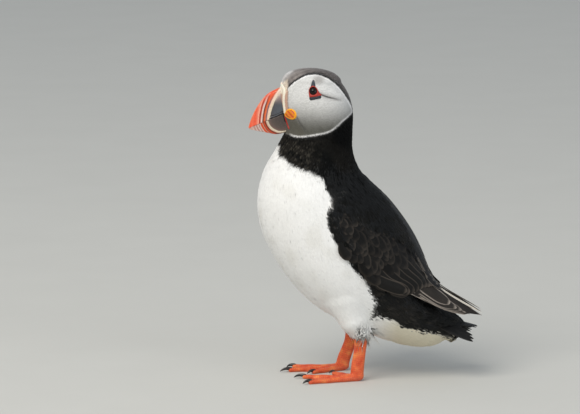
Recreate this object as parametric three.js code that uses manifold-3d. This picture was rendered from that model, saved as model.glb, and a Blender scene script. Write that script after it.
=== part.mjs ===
// A life-size Atlantic puffin (Fratercula arctica) standing upright, as closed solids in millimetres.
// +Z is up and the soles stand on z = 0. The bird faces -X, so its left side is at -Y.
// The body is one lofted form, parted by thin cuts into head, neck, trunk and rump. A second,
// fuller loft over it gives the folded wings, and the limbs are rings of points along a path.
import * as THREE from "three";
import { mergeVertices } from "three/addons/utils/BufferGeometryUtils.js";
import Module from "manifold-3d";

const wasm = await Module();
wasm.setup();

// ---- Driving dimensions ----
const gap = 0.3; // clear space between neighbouring pieces
const loftRows = 34; // steps along the body, from the crown to the undertail
const loftColumns = 24; // steps round the body
const crownRise = 9.2; // height of the crown's dome over the brow section
const rumpRise = 3.5; // length of the rounded end of the undertail
const fineness = 1.25; // how much finer the loft is under the face's small pieces
const domeShare = 0.08; // share of the loft's length that each rounded end takes
const faceReach = [4, 50]; // how far from the bird's middle a piece of the face may lie
const eye = { x: -39.6, z: 220.2, radius: 4.4, sink: 2.7, opening: 2.9 };
const bill = { gapeHalf: 7.2, tipHalf: 1, ridgeShare: 0.2, cereShare: 0.05, cereProud: 0.7 };
const tail = { root: 57, tip: 84, rootHalf: 17, tipHalf: 23, rootZ: 47.5, tipZ: 39, arch: 7.5, thick: 2 };
const sole = { toeHalf: 2.4, webHigh: 1.3, jointHalf: 4, topZ: 8.5 };
const toes = [
  { name: "outer", reach: 37, claw: 6 },
  { name: "middle", reach: 40, claw: 8 },
  { name: "inner", reach: 26, claw: 6 },
];

const thighMesh = { rows: 7, columns: 13, endShare: 0.2 };
const shankMesh = { rows: 8, columns: 9, endShare: 0.08 };
const toeMesh = { rows: 6, columns: 7, endShare: 0.06 };
const clawMesh = { rows: 6, columns: 6, endShare: 0.1 };

// Each leg from the feathered thigh down. turn is each toe's angle from straight ahead, in degrees,
// and is positive towards the bird's left.
const legs = {
  left: {
    side: -1,
    thigh: [[-13, -20, 62], [-8.5, -20.5, 46], [-4.6, -19.6, 34.5]],
    shank: [[-4, -19.6, 35], [-4.3, -19.6, 25], [-6, -19.6, 12], [-6.6, -19.6, 4.6]],
    turn: { outer: 19, middle: -11, inner: -50 },
  },
  right: {
    side: 1,
    thigh: [[-13, 20, 62], [-11.5, 20.5, 45], [-9.6, 19.8, 32]],
    shank: [[-9.4, 19.8, 32], [-11.2, 19.8, 22], [-15.6, 19.8, 10], [-17, 19.8, 4.6]],
    turn: { outer: -10, middle: 10, inner: 33 },
  },
};

// ---- Body sections ----
// Each section is a flat oval between a point on the front outline (throat, breast, belly) and one
// on the back outline (nape, back, rump). lean moves its widest line to the back (+) or front (-).
// cover is how far the folded wings stand out over it, at the back and at the side.
const bodySections = [
  { name: "brow", front: [-62.2, 225.4], back: [-18.9, 223.2], half: 18.6, lean: 0.16, cover: [1, 1] },
  { name: "eye", front: [-64.6, 215.5], back: [-13.2, 213.6], half: 22.6, lean: 0.2, cover: [1, 1] },
  { name: "cheek", front: [-63.4, 202.5], back: [-10.2, 201], half: 24.4, lean: 0.22, cover: [1, 1] },
  { name: "throat", front: [-60.4, 188.4], back: [-10.4, 187], half: 25.2, lean: 0.16, cover: [1, 1] },
  { name: "collar", front: [-66.2, 174.6], back: [-10.4, 172.4], half: 28.4, lean: 0.04, cover: [1, 1] },
  { name: "shoulder", front: [-76.2, 156.6], back: [-6.2, 159.4], half: 36, lean: 0, cover: [1.2, 1.2] },
  { name: "breast", front: [-80.9, 136.2], back: [2, 147.8], half: 42.2, lean: -0.02, cover: [1.9, 1.8] },
  { name: "keel", front: [-78.8, 115], back: [13, 135.2], half: 44.6, lean: -0.02, cover: [2.9, 2.4] },
  { name: "flank", front: [-70.2, 94.6], back: [22.4, 119], half: 45, lean: -0.04, cover: [5.1, 2.8] },
  { name: "belly", front: [-57.3, 75], back: [28.6, 105.4], half: 43, lean: -0.08, cover: [6.8, 3.2] },
  { name: "paunch", front: [-40.6, 57.2], back: [34.8, 90.4], half: 38.6, lean: -0.1, cover: [7.6, 4] },
  { name: "vent", front: [-19.4, 43.8], back: [42, 74.6], half: 32, lean: -0.06, cover: [7, 4.6] },
  { name: "crissum", front: [4, 32.6], back: [50.4, 61.8], half: 25.4, lean: 0, cover: [8, 5] },
  { name: "undertail", front: [28, 24.6], back: [59.4, 52.8], half: 19.6, lean: 0.06, cover: [8, 5] },
  { name: "tailRoot", front: [48, 23.2], back: [68, 46.8], half: 13.4, lean: 0.1, cover: [8, 5] },
  { name: "tailEnd", front: [60, 28.4], back: [73, 42.4], half: 8.2, lean: 0.1, cover: [8, 5] },
];
const lines = {
  bill: { low: [-58.6, 185.8], high: [-63.2, 220.8] },
  throat: { low: [-62, 186.2], high: [-6, 195] },
  collar: { low: [-74, 171], high: [-2, 158] },
  vent: { low: [0, 30], high: [52, 68] },
  wing: { low: [35, 56], high: [56, 96] },
};

// ---- Outlines seen from the side, as (x, z) ----
const culmen = spline([[-63.6, 219.8], [-73.4, 214.6], [-80.2, 206.7], [-85.2, 197.4], [-88, 189]]);
const mouth = spline([[-60.6, 200.8], [-74.4, 194.7], [-87.4, 188.9]]);
const gonys = spline([[-58.8, 186.2], [-66.6, 184.3], [-74, 185.4], [-81.6, 186.8], [-86.8, 188]]);
const wingFront = spline([
  [4, 158], [-8, 153.5], [-19, 147.5], [-28, 140], [-30.8, 131.8], [-27.4, 118], [-21.6, 106.7],
  [-8.1, 89.1], [4, 79], [19, 73.6], [34, 68], [44, 62],
]);
const wingBehind = [[60, 60], [70, 100], [40, 150], [10, 165]]; // clear of the body, to close the outline

// The folded flight feathers behind the cut. A section runs from their upper edge over a ridge to the lower.
const primarySections = [
  { upper: [44.8, -4.2, 83.2], ridge: [42.6, -17, 76], lower: [34.5, -26.4, 67] },
  { upper: [50.6, -4.6, 74.6], ridge: [49.2, -16.5, 69.4], lower: [43.5, -26.4, 62.4] },
  { upper: [59.2, -5.6, 67.6], ridge: [58.6, -15.8, 62], lower: [55, -23.6, 55.4] },
  { upper: [68.8, -6.8, 61.4], ridge: [68.6, -14.6, 56.6], lower: [66.2, -20, 51.4] },
  { upper: [77.6, -7.2, 56], ridge: [77.6, -12.4, 52.4], lower: [76.4, -15, 49.2] },
  { upper: [85.4, -7, 50.8], ridge: [85.4, -9.4, 49.4], lower: [84.8, -10.4, 47.6] },
  { upper: [88, -7.4, 48.6], ridge: [88, -8, 48], lower: [87.8, -8.4, 47.4] },
];
const primaryThick = 2;

// ---- Small helpers ----
function spline(points) {
  return new THREE.SplineCurve(points.map(([x, z]) => new THREE.Vector2(x, z)));
}

function path(points) {
  return new THREE.CatmullRomCurve3(points.map((p) => new THREE.Vector3(...p)), false, "catmullrom", 0.5);
}

function steps(count) {
  return Array.from({ length: count + 1 }, (_, i) => i / count);
}

// A smooth reading of a list of numbers at t, from 0 at its start to 1 at its end.
function reading(values, t) {
  const last = values.length - 1;
  const at = THREE.MathUtils.clamp(t, 0, 1) * last;
  const i = Math.min(Math.floor(at), last - 1);
  const [a, b, c, d] = [-1, 0, 1, 2].map((k) => values[THREE.MathUtils.clamp(i + k, 0, last)]);
  const f = at - i;
  return b + 0.5 * f * (c - a + f * (2 * a - 5 * b + 4 * c - d + f * (3 * (b - c) + d - a)));
}

// ---- Solids ----
// A closed geometry as a solid, with its shared points merged and its faces turned outwards.
function solidOf(geometry) {
  const bare = geometry.clone();
  bare.deleteAttribute("normal");
  bare.deleteAttribute("uv");
  const merged = mergeVertices(bare, 1e-3);
  const corners = Array.from(merged.index.array);
  const faces = [];
  for (let i = 0; i < corners.length; i += 3) {
    const [a, b, c] = corners.slice(i, i + 3);
    if (a !== b && b !== c && c !== a) faces.push(a, b, c);
  }
  const build = (triangles) => new wasm.Manifold(new wasm.Mesh({
    numProp: 3,
    vertProperties: merged.attributes.position.array,
    triVerts: new Uint32Array(triangles),
  }));
  const made = build(faces);
  return made.volume() > 0 ? made : build(faces.reverse());
}

// A skin over rings of points, each with as many points as the next, closed by a fan at both ends.
function ringSolid(rings) {
  const count = rings[0].length;
  const middle = (ring) => ring.reduce((sum, p) => sum.add(p), new THREE.Vector3()).divideScalar(count);
  const points = [...rings.flat(), middle(rings[0]), middle(rings.at(-1))];
  const faces = [];
  for (let k = 0; k < count; k++) {
    const next = (k + 1) % count;
    const last = (rings.length - 1) * count;
    faces.push(points.length - 2, next, k, points.length - 1, last + k, last + next);
    for (let row = 0; row < last; row += count) {
      faces.push(row + k, row + next, row + count + next, row + k, row + count + next, row + count + k);
    }
  }
  const geometry = new THREE.BufferGeometry().setFromPoints(points);
  return solidOf(geometry.setIndex(faces));
}

// A round-ended limb along a path. deep is its half size upright across the path, wide the level one.
function limb(points, deep, wide, { rows = 7, columns = 8, lift = 0, endShare = 0.14 } = {}) {
  const curve = path(points);
  return ringSolid(steps(rows).map((u) => {
    const beyond = Math.max(endShare - u, u - 1 + endShare, 0) / endShare;
    const t = THREE.MathUtils.clamp((u - endShare) / (1 - 2 * endShare), 0, 1);
    const ahead = curve.getTangent(t);
    const upright = new THREE.Vector3(0, 1, 0).cross(ahead).normalize();
    const level = new THREE.Vector3().crossVectors(ahead, upright);
    const size = [reading(deep, t) + lift, reading(wide, t) + lift];
    const shrink = Math.sqrt(Math.max(1 - beyond ** 2, 0));
    const overhang = Math.sign(u - 0.5) * beyond * Math.min(...size);
    const middle = curve.getPoint(t).addScaledVector(ahead, overhang);
    return steps(columns).slice(1).map((v) => middle.clone()
      .addScaledVector(upright, Math.cos(v * 2 * Math.PI) * size[0] * shrink)
      .addScaledVector(level, Math.sin(v * 2 * Math.PI) * size[1] * shrink));
  }));
}

// A side-view outline as a prism between two distances from the bird's middle, on one side.
function sidePrism(outline, side, near, far) {
  const shape = new THREE.Shape(outline.map(([x, z]) => new THREE.Vector2(x, z)));
  const prism = new THREE.ExtrudeGeometry(shape, { depth: far - near, bevelEnabled: false });
  prism.rotateX(Math.PI / 2).translate(0, side > 0 ? far : -near, 0);
  return solidOf(prism);
}

function sphere(centre, radius) {
  const ball = new THREE.SphereGeometry(radius, 12, 10);
  return solidOf(ball.rotateX(Math.PI / 2).translate(...centre));
}

// The part of a solid to the left of a side-view line from low to high (keep = 1) or to its right (-1).
function cutByLine(solid, { low, high }, keep) {
  const along = new THREE.Vector2(high[0] - low[0], high[1] - low[1]).normalize();
  const normal = [-along.y * keep, 0, along.x * keep];
  return solid.trimByPlane(normal, normal[0] * low[0] + normal[2] * low[1] + gap / 2);
}

// The mirror image of a solid on the bird's other side.
const mirrored = (solid) => solid.mirror([0, 1, 0]);

// ---- Body ----
// The section at u, from 0 at the crown's top to 1 at the undertail's end. lift grows it all round,
// and with covered it also takes in the folded wings.
function sectionAt(u, lift, covered) {
  const t = (u - domeShare) / (1 - 2 * domeShare);
  const read = (pick) => reading(bodySections.map(pick), t);
  const front = new THREE.Vector2(read((s) => s.front[0]), read((s) => s.front[1]));
  const back = new THREE.Vector2(read((s) => s.back[0]), read((s) => s.back[1]));
  const along = back.clone().sub(front).normalize();
  if (covered) back.addScaledVector(along, read((s) => s.cover[0]));
  const beyond = Math.min(Math.max(domeShare - u, u - 1 + domeShare, 0) / domeShare, 1);
  const shrink = Math.sqrt(1 - beyond ** 2);
  const rise = (u < 0.5 ? crownRise + lift : -rumpRise - lift) * beyond;
  const centre = front.clone().add(back).divideScalar(2);
  return {
    centre: new THREE.Vector2(centre.x - along.y * rise, centre.y + along.x * rise),
    along,
    depth: (front.distanceTo(back) / 2 + lift) * shrink,
    half: (read((s) => s.half) + (covered ? read((s) => s.cover[1]) : 0) + lift) * shrink,
    lean: read((s) => s.lean),
  };
}

// The body's solid. Each ring starts at the front outline and goes round by the right side.
function bodyLoft({ lift = 0, covered = false, detail = 1 } = {}) {
  return ringSolid(steps(loftRows * detail).map((u) => {
    const s = sectionAt(u, lift, covered);
    return steps(loftColumns * detail).slice(1).map((v) => {
      const toBack = -Math.cos(v * 2 * Math.PI);
      const level = s.half * Math.sin(v * 2 * Math.PI) * (1 + s.lean * toBack);
      return new THREE.Vector3(
        s.centre.x + s.along.x * s.depth * toBack, level, s.centre.y + s.along.y * s.depth * toBack);
    });
  }));
}

// The body's half width where a side view shows the point (x, z), by halving the range of sections.
function halfWidthAt(x, z) {
  const over = (s) => s.along.x * (z - s.centre.y) - s.along.y * (x - s.centre.x) > 0;
  const range = [0, 1];
  for (let i = 0; i < 30; i++) {
    const middle = (range[0] + range[1]) / 2;
    range[over(sectionAt(middle, 0, false)) ? 1 : 0] = middle;
  }
  const s = sectionAt(range[0], 0, false);
  const toBack = ((x - s.centre.x) * s.along.x + (z - s.centre.y) * s.along.y) / s.depth;
  return s.half * Math.sqrt(Math.max(1 - toBack ** 2, 0)) * (1 + s.lean * toBack);
}

// The point on the body's left side at (x, z), moved out along the surface's normal.
function onSide(x, z, out) {
  const step = 0.5;
  const slope = (dx, dz) => (halfWidthAt(x + dx, z + dz) - halfWidthAt(x - dx, z - dz)) / (2 * step);
  const normal = new THREE.Vector3(-slope(step, 0), -1, -slope(0, step)).normalize();
  return new THREE.Vector3(x, -halfWidthAt(x, z), z).addScaledVector(normal, out).toArray();
}

// A thin piece that lies on the head's left side inside a side-view outline.
function onFace(outline, proud) {
  const outer = bodyLoft({ lift: proud, detail: fineness });
  const inner = bodyLoft({ lift: gap, detail: fineness });
  return sidePrism(outline, -1, ...faceReach).intersect(outer).subtract(inner);
}

const bare = bodyLoft();
const bareGrown = bodyLoft({ lift: gap });
const dressed = bodyLoft({ covered: true });
const eyeCentre = onSide(eye.x, eye.z, -eye.sink);

function bodyParts() {
  const upper = cutByLine(bare, lines.throat, 1);
  const lower = cutByLine(bare, lines.throat, -1);
  const torso = cutByLine(lower, lines.collar, -1);
  const socket = sphere(eyeCentre, eye.radius + gap);
  return {
    head: cutByLine(upper, lines.bill, -1).subtract(socket).subtract(mirrored(socket)),
    neck: cutByLine(lower, lines.collar, 1),
    trunk: cutByLine(torso, lines.vent, 1),
    rump: cutByLine(torso, lines.vent, -1),
  };
}

// ---- Bill ----
// A stretch of one half of the bill between the mouth line and an edge, flat along the mouth. Its sides
// draw in towards a narrow ridge, and share runs from 0 at the base to 1 at the tip.
function mandible(edge, shift, from, to, proud = 0) {
  const levels = steps(6);
  const rows = Math.ceil(11 * (to - from));
  return ringSolid(steps(rows).map((u) => {
    const share = THREE.MathUtils.lerp(from, to, u);
    const half = THREE.MathUtils.lerp(bill.gapeHalf, bill.tipHalf, share ** 0.85) + proud;
    const low = mouth.getPoint(share);
    const high = edge.getPoint(share);
    high.add(high.clone().sub(low).normalize().multiplyScalar(proud));
    const point = (h, side) => {
      const width = half * (bill.ridgeShare + (1 - bill.ridgeShare) * (1 - h) ** 0.9);
      const rounding = h > 0.9 ? Math.sqrt(Math.max(1 - ((h - 0.9) / 0.1) ** 2, 0)) : 1;
      const [x, z] = [THREE.MathUtils.lerp(low.x, high.x, h), THREE.MathUtils.lerp(low.y, high.y, h)];
      return new THREE.Vector3(x, side * width * rounding, z + shift);
    };
    return [...levels.map((h) => point(h, -1)), ...levels.slice(0, -1).reverse().map((h) => point(h, 1))];
  }));
}

function billParts() {
  const clear = (solid) => cutByLine(solid, lines.bill, 1);
  const behindCere = bill.cereShare + gap / mouth.getLength();
  return {
    bill_upper: clear(mandible(culmen, gap / 2, behindCere, 1)),
    bill_lower: clear(mandible(gonys, -gap / 2, 0, 1)).subtract(cutByLine(bareGrown, lines.throat, -1)),
    bill_cere: clear(mandible(culmen, gap / 2, 0, bill.cereShare, bill.cereProud)),
  };
}

// ---- Eyes and face ornaments, for the left side ----
// The outline round the eye's centre at a radius that is drawn out towards some corners.
function drawnOut(x, z, radius, corners) {
  return steps(18).slice(1).map((v) => {
    const angle = v * 2 * Math.PI;
    const pull = corners.reduce((sum, c) => {
      const turn = Math.atan2(Math.sin(angle - c.angle), Math.cos(angle - c.angle));
      return sum + c.reach * Math.exp(-((turn / c.spread) ** 2));
    }, radius);
    return [x + pull * Math.cos(angle), z + pull * Math.sin(angle)];
  });
}

function facePieces() {
  const ring = drawnOut(eye.x, eye.z, 3.6, [
    { angle: -2, reach: 1.7, spread: 0.34 },
    { angle: -0.36, reach: 1.1, spread: 0.34 },
    { angle: 1.6, reach: 0.35, spread: 0.3 },
  ]);
  const opening = drawnOut(eye.x, eye.z, eye.opening, []);
  const upperPlate = [[-1.5, 4.4], [1.4, 4.4], [-0.3, 8.2]];
  const lowerPlate = [[-2.8, -5.9], [-1.9, -6.8], [5.4, -3.9], [5.1, -2.7]];
  const atEye = (outline) => outline.map(([x, z]) => [eye.x + x, eye.z + z]);
  const socket = sphere(eyeCentre, eye.radius + gap);
  return {
    eye: sphere(eyeCentre, eye.radius),
    eye_ring: onFace(ring, 1.5).subtract(socket).subtract(sidePrism(opening, -1, ...faceReach)),
    eye_plate_upper: onFace(atEye(upperPlate), 1.4),
    eye_plate_lower: onFace(atEye(lowerPlate), 1.4),
    rosette: onFace(drawnOut(-56.2, 201.6, 4.6, []), 1.7),
  };
}

// ---- Wings, for the left side ----
function wingParts() {
  const inwards = new THREE.Vector3(-0.35, 0.75, -0.55).normalize();
  const outline = [...wingFront.getPoints(44).map((p) => [p.x, p.y]), ...wingBehind];
  const shell = sidePrism(outline, -1, gap / 2, 60).intersect(dressed).subtract(bareGrown);
  const blade = ringSolid(steps(12).map((u) => {
    const [upper, ridge, lower] = ["upper", "ridge", "lower"].map((rail) => new THREE.Vector3(
      ...[0, 1, 2].map((i) => reading(primarySections.map((s) => s[rail][i]), u))));
    const pull = ridge.clone().multiplyScalar(2).addScaledVector(upper, -0.5).addScaledVector(lower, -0.5);
    const arc = new THREE.QuadraticBezierCurve3(upper, pull, lower);
    const thick = primaryThick * (1 - 0.5 * u);
    const outer = steps(5).map((t) => arc.getPoint(t));
    const inner = steps(5).slice(1, -1).map((t) => arc.getPoint(1 - t).addScaledVector(inwards, thick));
    return [...outer, ...inner];
  }));
  return {
    arm: cutByLine(shell, lines.wing, 1),
    primaries: cutByLine(blade, lines.wing, -1).subtract(bareGrown),
  };
}

// ---- Tail ----
// A shallow arched fan with a rounded end, made of rings across it.
function tailFan() {
  const rings = steps(5).map((u) => {
    const half = THREE.MathUtils.lerp(tail.rootHalf, tail.tipHalf, u ** 0.8);
    const ring = [];
    for (const under of [0, 1]) {
      for (const v of steps(10)) {
        const across = under ? 1 - 2 * v : 2 * v - 1;
        const back = THREE.MathUtils.lerp(tail.root, tail.tip - 7 * across ** 2, u);
        const fall = tail.arch * (0.3 + 0.7 * u) * across ** 2;
        const z = THREE.MathUtils.lerp(tail.rootZ, tail.tipZ, u) - fall;
        const thick = tail.thick * (1 - 0.3 * across ** 2);
        ring.push(new THREE.Vector3(back, half * across, z - (under ? thick : 0)));
      }
    }
    return ring;
  });
  return ringSolid(rings).subtract(bareGrown);
}

// ---- Legs and feet ----
// Where a toe's line stands at a distance from the leg's foot joint, seen from above.
function alongToe(leg, toe, distance) {
  const [x, y] = leg.shank.at(-1);
  const turn = THREE.MathUtils.degToRad(leg.turn[toe.name]);
  return [x - Math.cos(turn) * distance, y - Math.sin(turn) * distance];
}

// The plane across a toe at a distance from the foot's joint, as a direction and an offset.
function acrossToe(leg, toe, distance) {
  const turn = THREE.MathUtils.degToRad(leg.turn[toe.name]);
  const ahead = [-Math.cos(turn), -Math.sin(turn), 0];
  const end = alongToe(leg, toe, distance);
  return { ahead, offset: ahead[0] * end[0] + ahead[1] * end[1] };
}

// The toe from the foot's joint to a flat end that the claw grows from.
function toeSolid(leg, toe) {
  const at = (share, z) => [...alongToe(leg, toe, toe.reach * share), z];
  const half = sole.toeHalf;
  const { ahead, offset } = acrossToe(leg, toe, toe.reach);
  const deep = [3.8, 2.5, 2.1, 1.9, 1.7];
  const wide = [1.2, 1, 0.85, 0.9, 0.75].map((share) => half * share);
  return limb([at(0, 3), at(0.3, 1.8), at(0.65, 1.5), at(1.06, 1.4)], deep, wide, toeMesh)
    .trimByPlane(ahead.map((a) => -a), -offset + gap / 2);
}

// The claw, curved down to just over the floor.
function clawSolid(leg, toe) {
  const at = (distance, z) => [...alongToe(leg, toe, toe.reach + distance), z];
  const { ahead, offset } = acrossToe(leg, toe, toe.reach);
  return limb([at(-1, 1.9), at(toe.claw * 0.4, 2.7), at(toe.claw * 0.75, 2.1), at(toe.claw, 0.8)],
    [1.4, 1.2, 0.85, 0.3], [1.2, 1.05, 0.7, 0.3], clawMesh)
    .trimByPlane(ahead, offset + gap / 2);
}

// The webs, as one flat sheet between the toes, whose front edge hangs back between their ends.
function webSolid(leg) {
  const joint = leg.shank.at(-1);
  const ends = toes.map((toe) => alongToe(leg, toe, toe.reach * 0.93));
  const sag = (a, b) => [0.3, 0.5, 0.7].map((t) => {
    const depth = 0.2 * Math.sin(Math.PI * t);
    return [0, 1].map((i) => THREE.MathUtils.lerp(THREE.MathUtils.lerp(a[i], b[i], t), joint[i], depth));
  });
  const outline = [joint, ends[0], ...sag(ends[0], ends[1]), ends[1], ...sag(ends[1], ends[2]), ends[2]];
  const shape = new THREE.Shape(outline.map(([x, y]) => new THREE.Vector2(x, y)));
  return solidOf(new THREE.ExtrudeGeometry(shape, { depth: sole.webHigh, bevelEnabled: false }));
}

function legParts(leg) {
    const thigh = (lift) => limb(leg.thigh, [16, 12, 7.4], [16, 12, 7], { ...thighMesh, lift });
  const [x, y] = leg.shank.at(-1);
  const knuckle = limb([[x + 2, y, 4], [x - 3, y, 3.6]], [4.2, 4], [sole.jointHalf, sole.jointHalf]);
  const shank = limb(leg.shank, [4.3, 3.7, 3.7, 4.2], [3.2, 2.4, 2.4, 3.2], shankMesh);
  const stem = shank.add(knuckle).add(webSolid(leg));
  const whole = toes.reduce((sum, toe) => sum.add(toeSolid(leg, toe)), stem);
  const parts = {
    thigh: thigh(0).subtract(bareGrown),
    tarsus: whole.trimByPlane([0, 0, 1], sole.topZ + gap / 2).subtract(thigh(gap)).subtract(bareGrown),
    foot: whole.trimByPlane([0, 0, -1], -sole.topZ + gap / 2).trimByPlane([0, 0, 1], 0),
  };
  for (const toe of toes) {
    parts[`claw_${toe.name}`] = clawSolid(leg, toe);
  }
  return parts;
}

// ---- Materials ----
function finish(color, roughness) {
  return new THREE.MeshStandardMaterial({ color, roughness, metalness: 0 });
}

const materials = {
  blackPlumage: finish("#2a2627", 0.8),
  greyFace: finish("#c4c2bf", 0.85),
  whitePlumage: finish("#eeedeb", 0.85),
  wingPlumage: finish("#332d2b", 0.75),
  billRed: finish("#c8432a", 0.35),
  cereCream: finish("#e0cf93", 0.5),
  rosetteYellow: finish("#e0912b", 0.55),
  eyeBrown: finish("#17100d", 0.05),
  eyeRingRed: finish("#b3402a", 0.5),
  hornPlate: finish("#4b545c", 0.5),
  legOrange: finish("#d5642a", 0.5),
  clawBlack: finish("#1c1918", 0.35),
};

// ---- The bird ----
function meshOf(name, solid, material) {
  const { numProp, vertProperties, triVerts } = solid.getMesh();
  const geometry = new THREE.BufferGeometry();
  geometry.setAttribute("position", new THREE.BufferAttribute(new Float32Array(vertProperties), numProp));
  geometry.setIndex(new THREE.BufferAttribute(new Uint32Array(triVerts), 1));
  geometry.computeVertexNormals();
  const mesh = new THREE.Mesh(geometry, material);
  mesh.name = name;
  return mesh;
}

const puffin = new THREE.Group();
const body = bodyParts();
puffin.add(meshOf("head", body.head, materials.greyFace));
puffin.add(meshOf("neck", body.neck, materials.blackPlumage));
puffin.add(meshOf("trunk", body.trunk, materials.whitePlumage));
puffin.add(meshOf("rump", body.rump, materials.whitePlumage));
puffin.add(meshOf("tail", tailFan(), materials.blackPlumage));

const beak = billParts();
puffin.add(meshOf("bill_upper", beak.bill_upper, materials.billRed));
puffin.add(meshOf("bill_lower", beak.bill_lower, materials.billRed));
puffin.add(meshOf("bill_cere", beak.bill_cere, materials.cereCream));

const faceMaterials = {
  eye: materials.eyeBrown,
  eye_ring: materials.eyeRingRed,
  eye_plate_upper: materials.hornPlate,
  eye_plate_lower: materials.hornPlate,
  rosette: materials.rosetteYellow,
};
for (const [name, solid] of Object.entries(facePieces())) {
  puffin.add(meshOf(`${name}_left`, solid, faceMaterials[name]));
  puffin.add(meshOf(`${name}_right`, mirrored(solid), faceMaterials[name]));
}

const wing = wingParts();
for (const [part, solid] of Object.entries(wing)) {
  puffin.add(meshOf(`wing_left_${part}`, solid, materials.wingPlumage));
  puffin.add(meshOf(`wing_right_${part}`, mirrored(solid), materials.wingPlumage));
}

const legMaterials = {
  thigh: materials.whitePlumage,
  tarsus: materials.legOrange,
  foot: materials.legOrange,
};
for (const [side, leg] of Object.entries(legs)) {
  for (const [part, solid] of Object.entries(legParts(leg))) {
    puffin.add(meshOf(`${part}_${side}`, solid, legMaterials[part] ?? materials.clawBlack));
  }
}

export default puffin;
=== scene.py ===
import math
import bpy
import numpy as np
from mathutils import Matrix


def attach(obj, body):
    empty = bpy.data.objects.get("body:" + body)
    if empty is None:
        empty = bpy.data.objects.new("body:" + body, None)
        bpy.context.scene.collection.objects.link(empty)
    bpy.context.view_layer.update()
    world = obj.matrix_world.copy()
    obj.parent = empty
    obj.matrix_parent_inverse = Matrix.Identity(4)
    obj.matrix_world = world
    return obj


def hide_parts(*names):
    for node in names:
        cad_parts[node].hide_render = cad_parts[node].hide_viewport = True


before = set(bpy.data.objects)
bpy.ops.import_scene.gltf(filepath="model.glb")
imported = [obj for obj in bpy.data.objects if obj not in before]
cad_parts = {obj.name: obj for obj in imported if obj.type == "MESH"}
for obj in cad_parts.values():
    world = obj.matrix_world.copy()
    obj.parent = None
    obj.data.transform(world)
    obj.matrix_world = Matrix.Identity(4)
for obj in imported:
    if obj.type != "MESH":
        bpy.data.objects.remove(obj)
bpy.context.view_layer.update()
print("frame loaded")

mm = 0.001  # every size below is in millimetres, and meshes are in metres


# sRGB hex as linear red, green and blue
def linear(hexColour):
    share = np.array([int(hexColour[i:i + 2], 16) for i in (1, 3, 5)]) / 255
    return np.where(share <= 0.04045, share / 12.92, ((share + 0.055) / 1.055) ** 2.4)


# adds one shader node: fields and socket values from settings, ramp stops, then links into its sockets
def addNode(tree, kind, settings=None, links=None, stops=None):
    node = tree.nodes.new("ShaderNode" + kind)
    for name, value in (settings or {}).items():
        if isinstance(name, int) or name in node.inputs:
            if isinstance(value, str) and value.startswith("#"):
                value = (*linear(value), 1)
            node.inputs[name].default_value = value
        else:
            setattr(node, name, value)
    for place, (at, colour) in enumerate(stops or ()):
        ramp = node.color_ramp.elements
        stop = ramp[place] if place < 2 else ramp.new(at)
        stop.position = at
        stop.color = (*linear(colour), 1)
    for name, source in (links or {}).items():
        tree.links.new(source, node.inputs[name])
    return node


# a material with a Principled shader, ready for more nodes
def newMaterial(name, settings):
    material = bpy.data.materials.new(name)
    material.use_nodes = True
    tree = material.node_tree
    tree.nodes.clear()
    shader = addNode(tree, "BsdfPrincipled", settings)
    addNode(tree, "OutputMaterial", links={"Surface": shader.outputs["BSDF"]})
    return material, tree, shader


# smoothly 0 below low, 1 above high
def rise(low, high, value):
    share = np.clip((value - low) / (high - low), 0, 1)
    return share * share * (3 - 2 * share)


def unit(vectors):
    return vectors / np.maximum(np.linalg.norm(vectors, axis=-1, keepdims=True), 1e-9)


def dot(first, second):
    return (first * second).sum(-1, keepdims=True)


# a Catmull-Rom curve through evenly spaced rows of values, read at t from 0 to 1
def reading(values, t):
    values = np.asarray(values, float)
    last = len(values) - 1
    at = np.clip(t, 0, 1) * last
    i = np.minimum(np.floor(at).astype(int), last - 1)
    a, b, c, d = [values[np.clip(i + k, 0, last)] for k in (-1, 0, 1, 2)]
    f = (at - i).reshape(at.shape + (1,) * (values.ndim - 1))
    return b + 0.5 * f * (c - a + f * (2 * a - 5 * b + 4 * c - d + f * (3 * (b - c) + d - a)))


# a slow random drift over space between about -1 and 1: a sum of sine waves about size mm long
def drift(points, size, seed, waves=7):
    random = np.random.default_rng(seed)
    ways = unit(random.normal(size=(waves, 3))) * random.uniform(0.7, 1.6, (waves, 1)) * 2 * np.pi / size
    phases = random.uniform(0, 2 * np.pi, waves)
    return np.sin(points @ ways.T + phases).sum(-1) / math.sqrt(waves)


# distance from side-view points to a line of points, and how far along it the nearest place is, 0 to 1
def toLine(x, z, line, closed=False):
    line = np.asarray(line, float)
    ends = np.roll(line, -1, axis=0) if closed else line[1:]
    starts = line if closed else line[:-1]
    best = np.full(np.shape(x), np.inf)
    along = np.zeros(np.shape(x))
    for k, (start, end) in enumerate(zip(starts, ends)):
        way = end - start
        share = np.clip(((x - start[0]) * way[0] + (z - start[1]) * way[1]) / (way @ way), 0, 1)
        away = np.hypot(x - start[0] - share * way[0], z - start[1] - share * way[1])
        along = np.where(away < best, (k + share) / len(starts), along)
        best = np.minimum(best, away)
    return best, along


# distance to a closed side-view outline, positive inside it
def insideOf(x, z, outline):
    away, _ = toLine(x, z, outline, closed=True)
    inside = np.zeros(np.shape(x), bool)
    outline = np.asarray(outline, float)
    for (x0, z0), (x1, z1) in zip(outline, np.roll(outline, -1, axis=0)):
        if z0 != z1:
            inside ^= ((z0 > z) != (z1 > z)) & (x < (x1 - x0) * (z - z0) / (z1 - z0) + x0)
    return np.where(inside, away, -away)


# square faces of a grid of points, which may close on itself either way
def gridFaces(rows, columns, wrapRows=False, wrapColumns=False):
    index = np.arange(rows * columns).reshape(rows, columns)
    if wrapRows:
        index = np.vstack([index, index[:1]])
    if wrapColumns:
        index = np.hstack([index, index[:, :1]])
    return np.stack([index[:-1, :-1], index[:-1, 1:], index[1:, 1:], index[1:, :-1]], -1).reshape(-1, 4)


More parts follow.
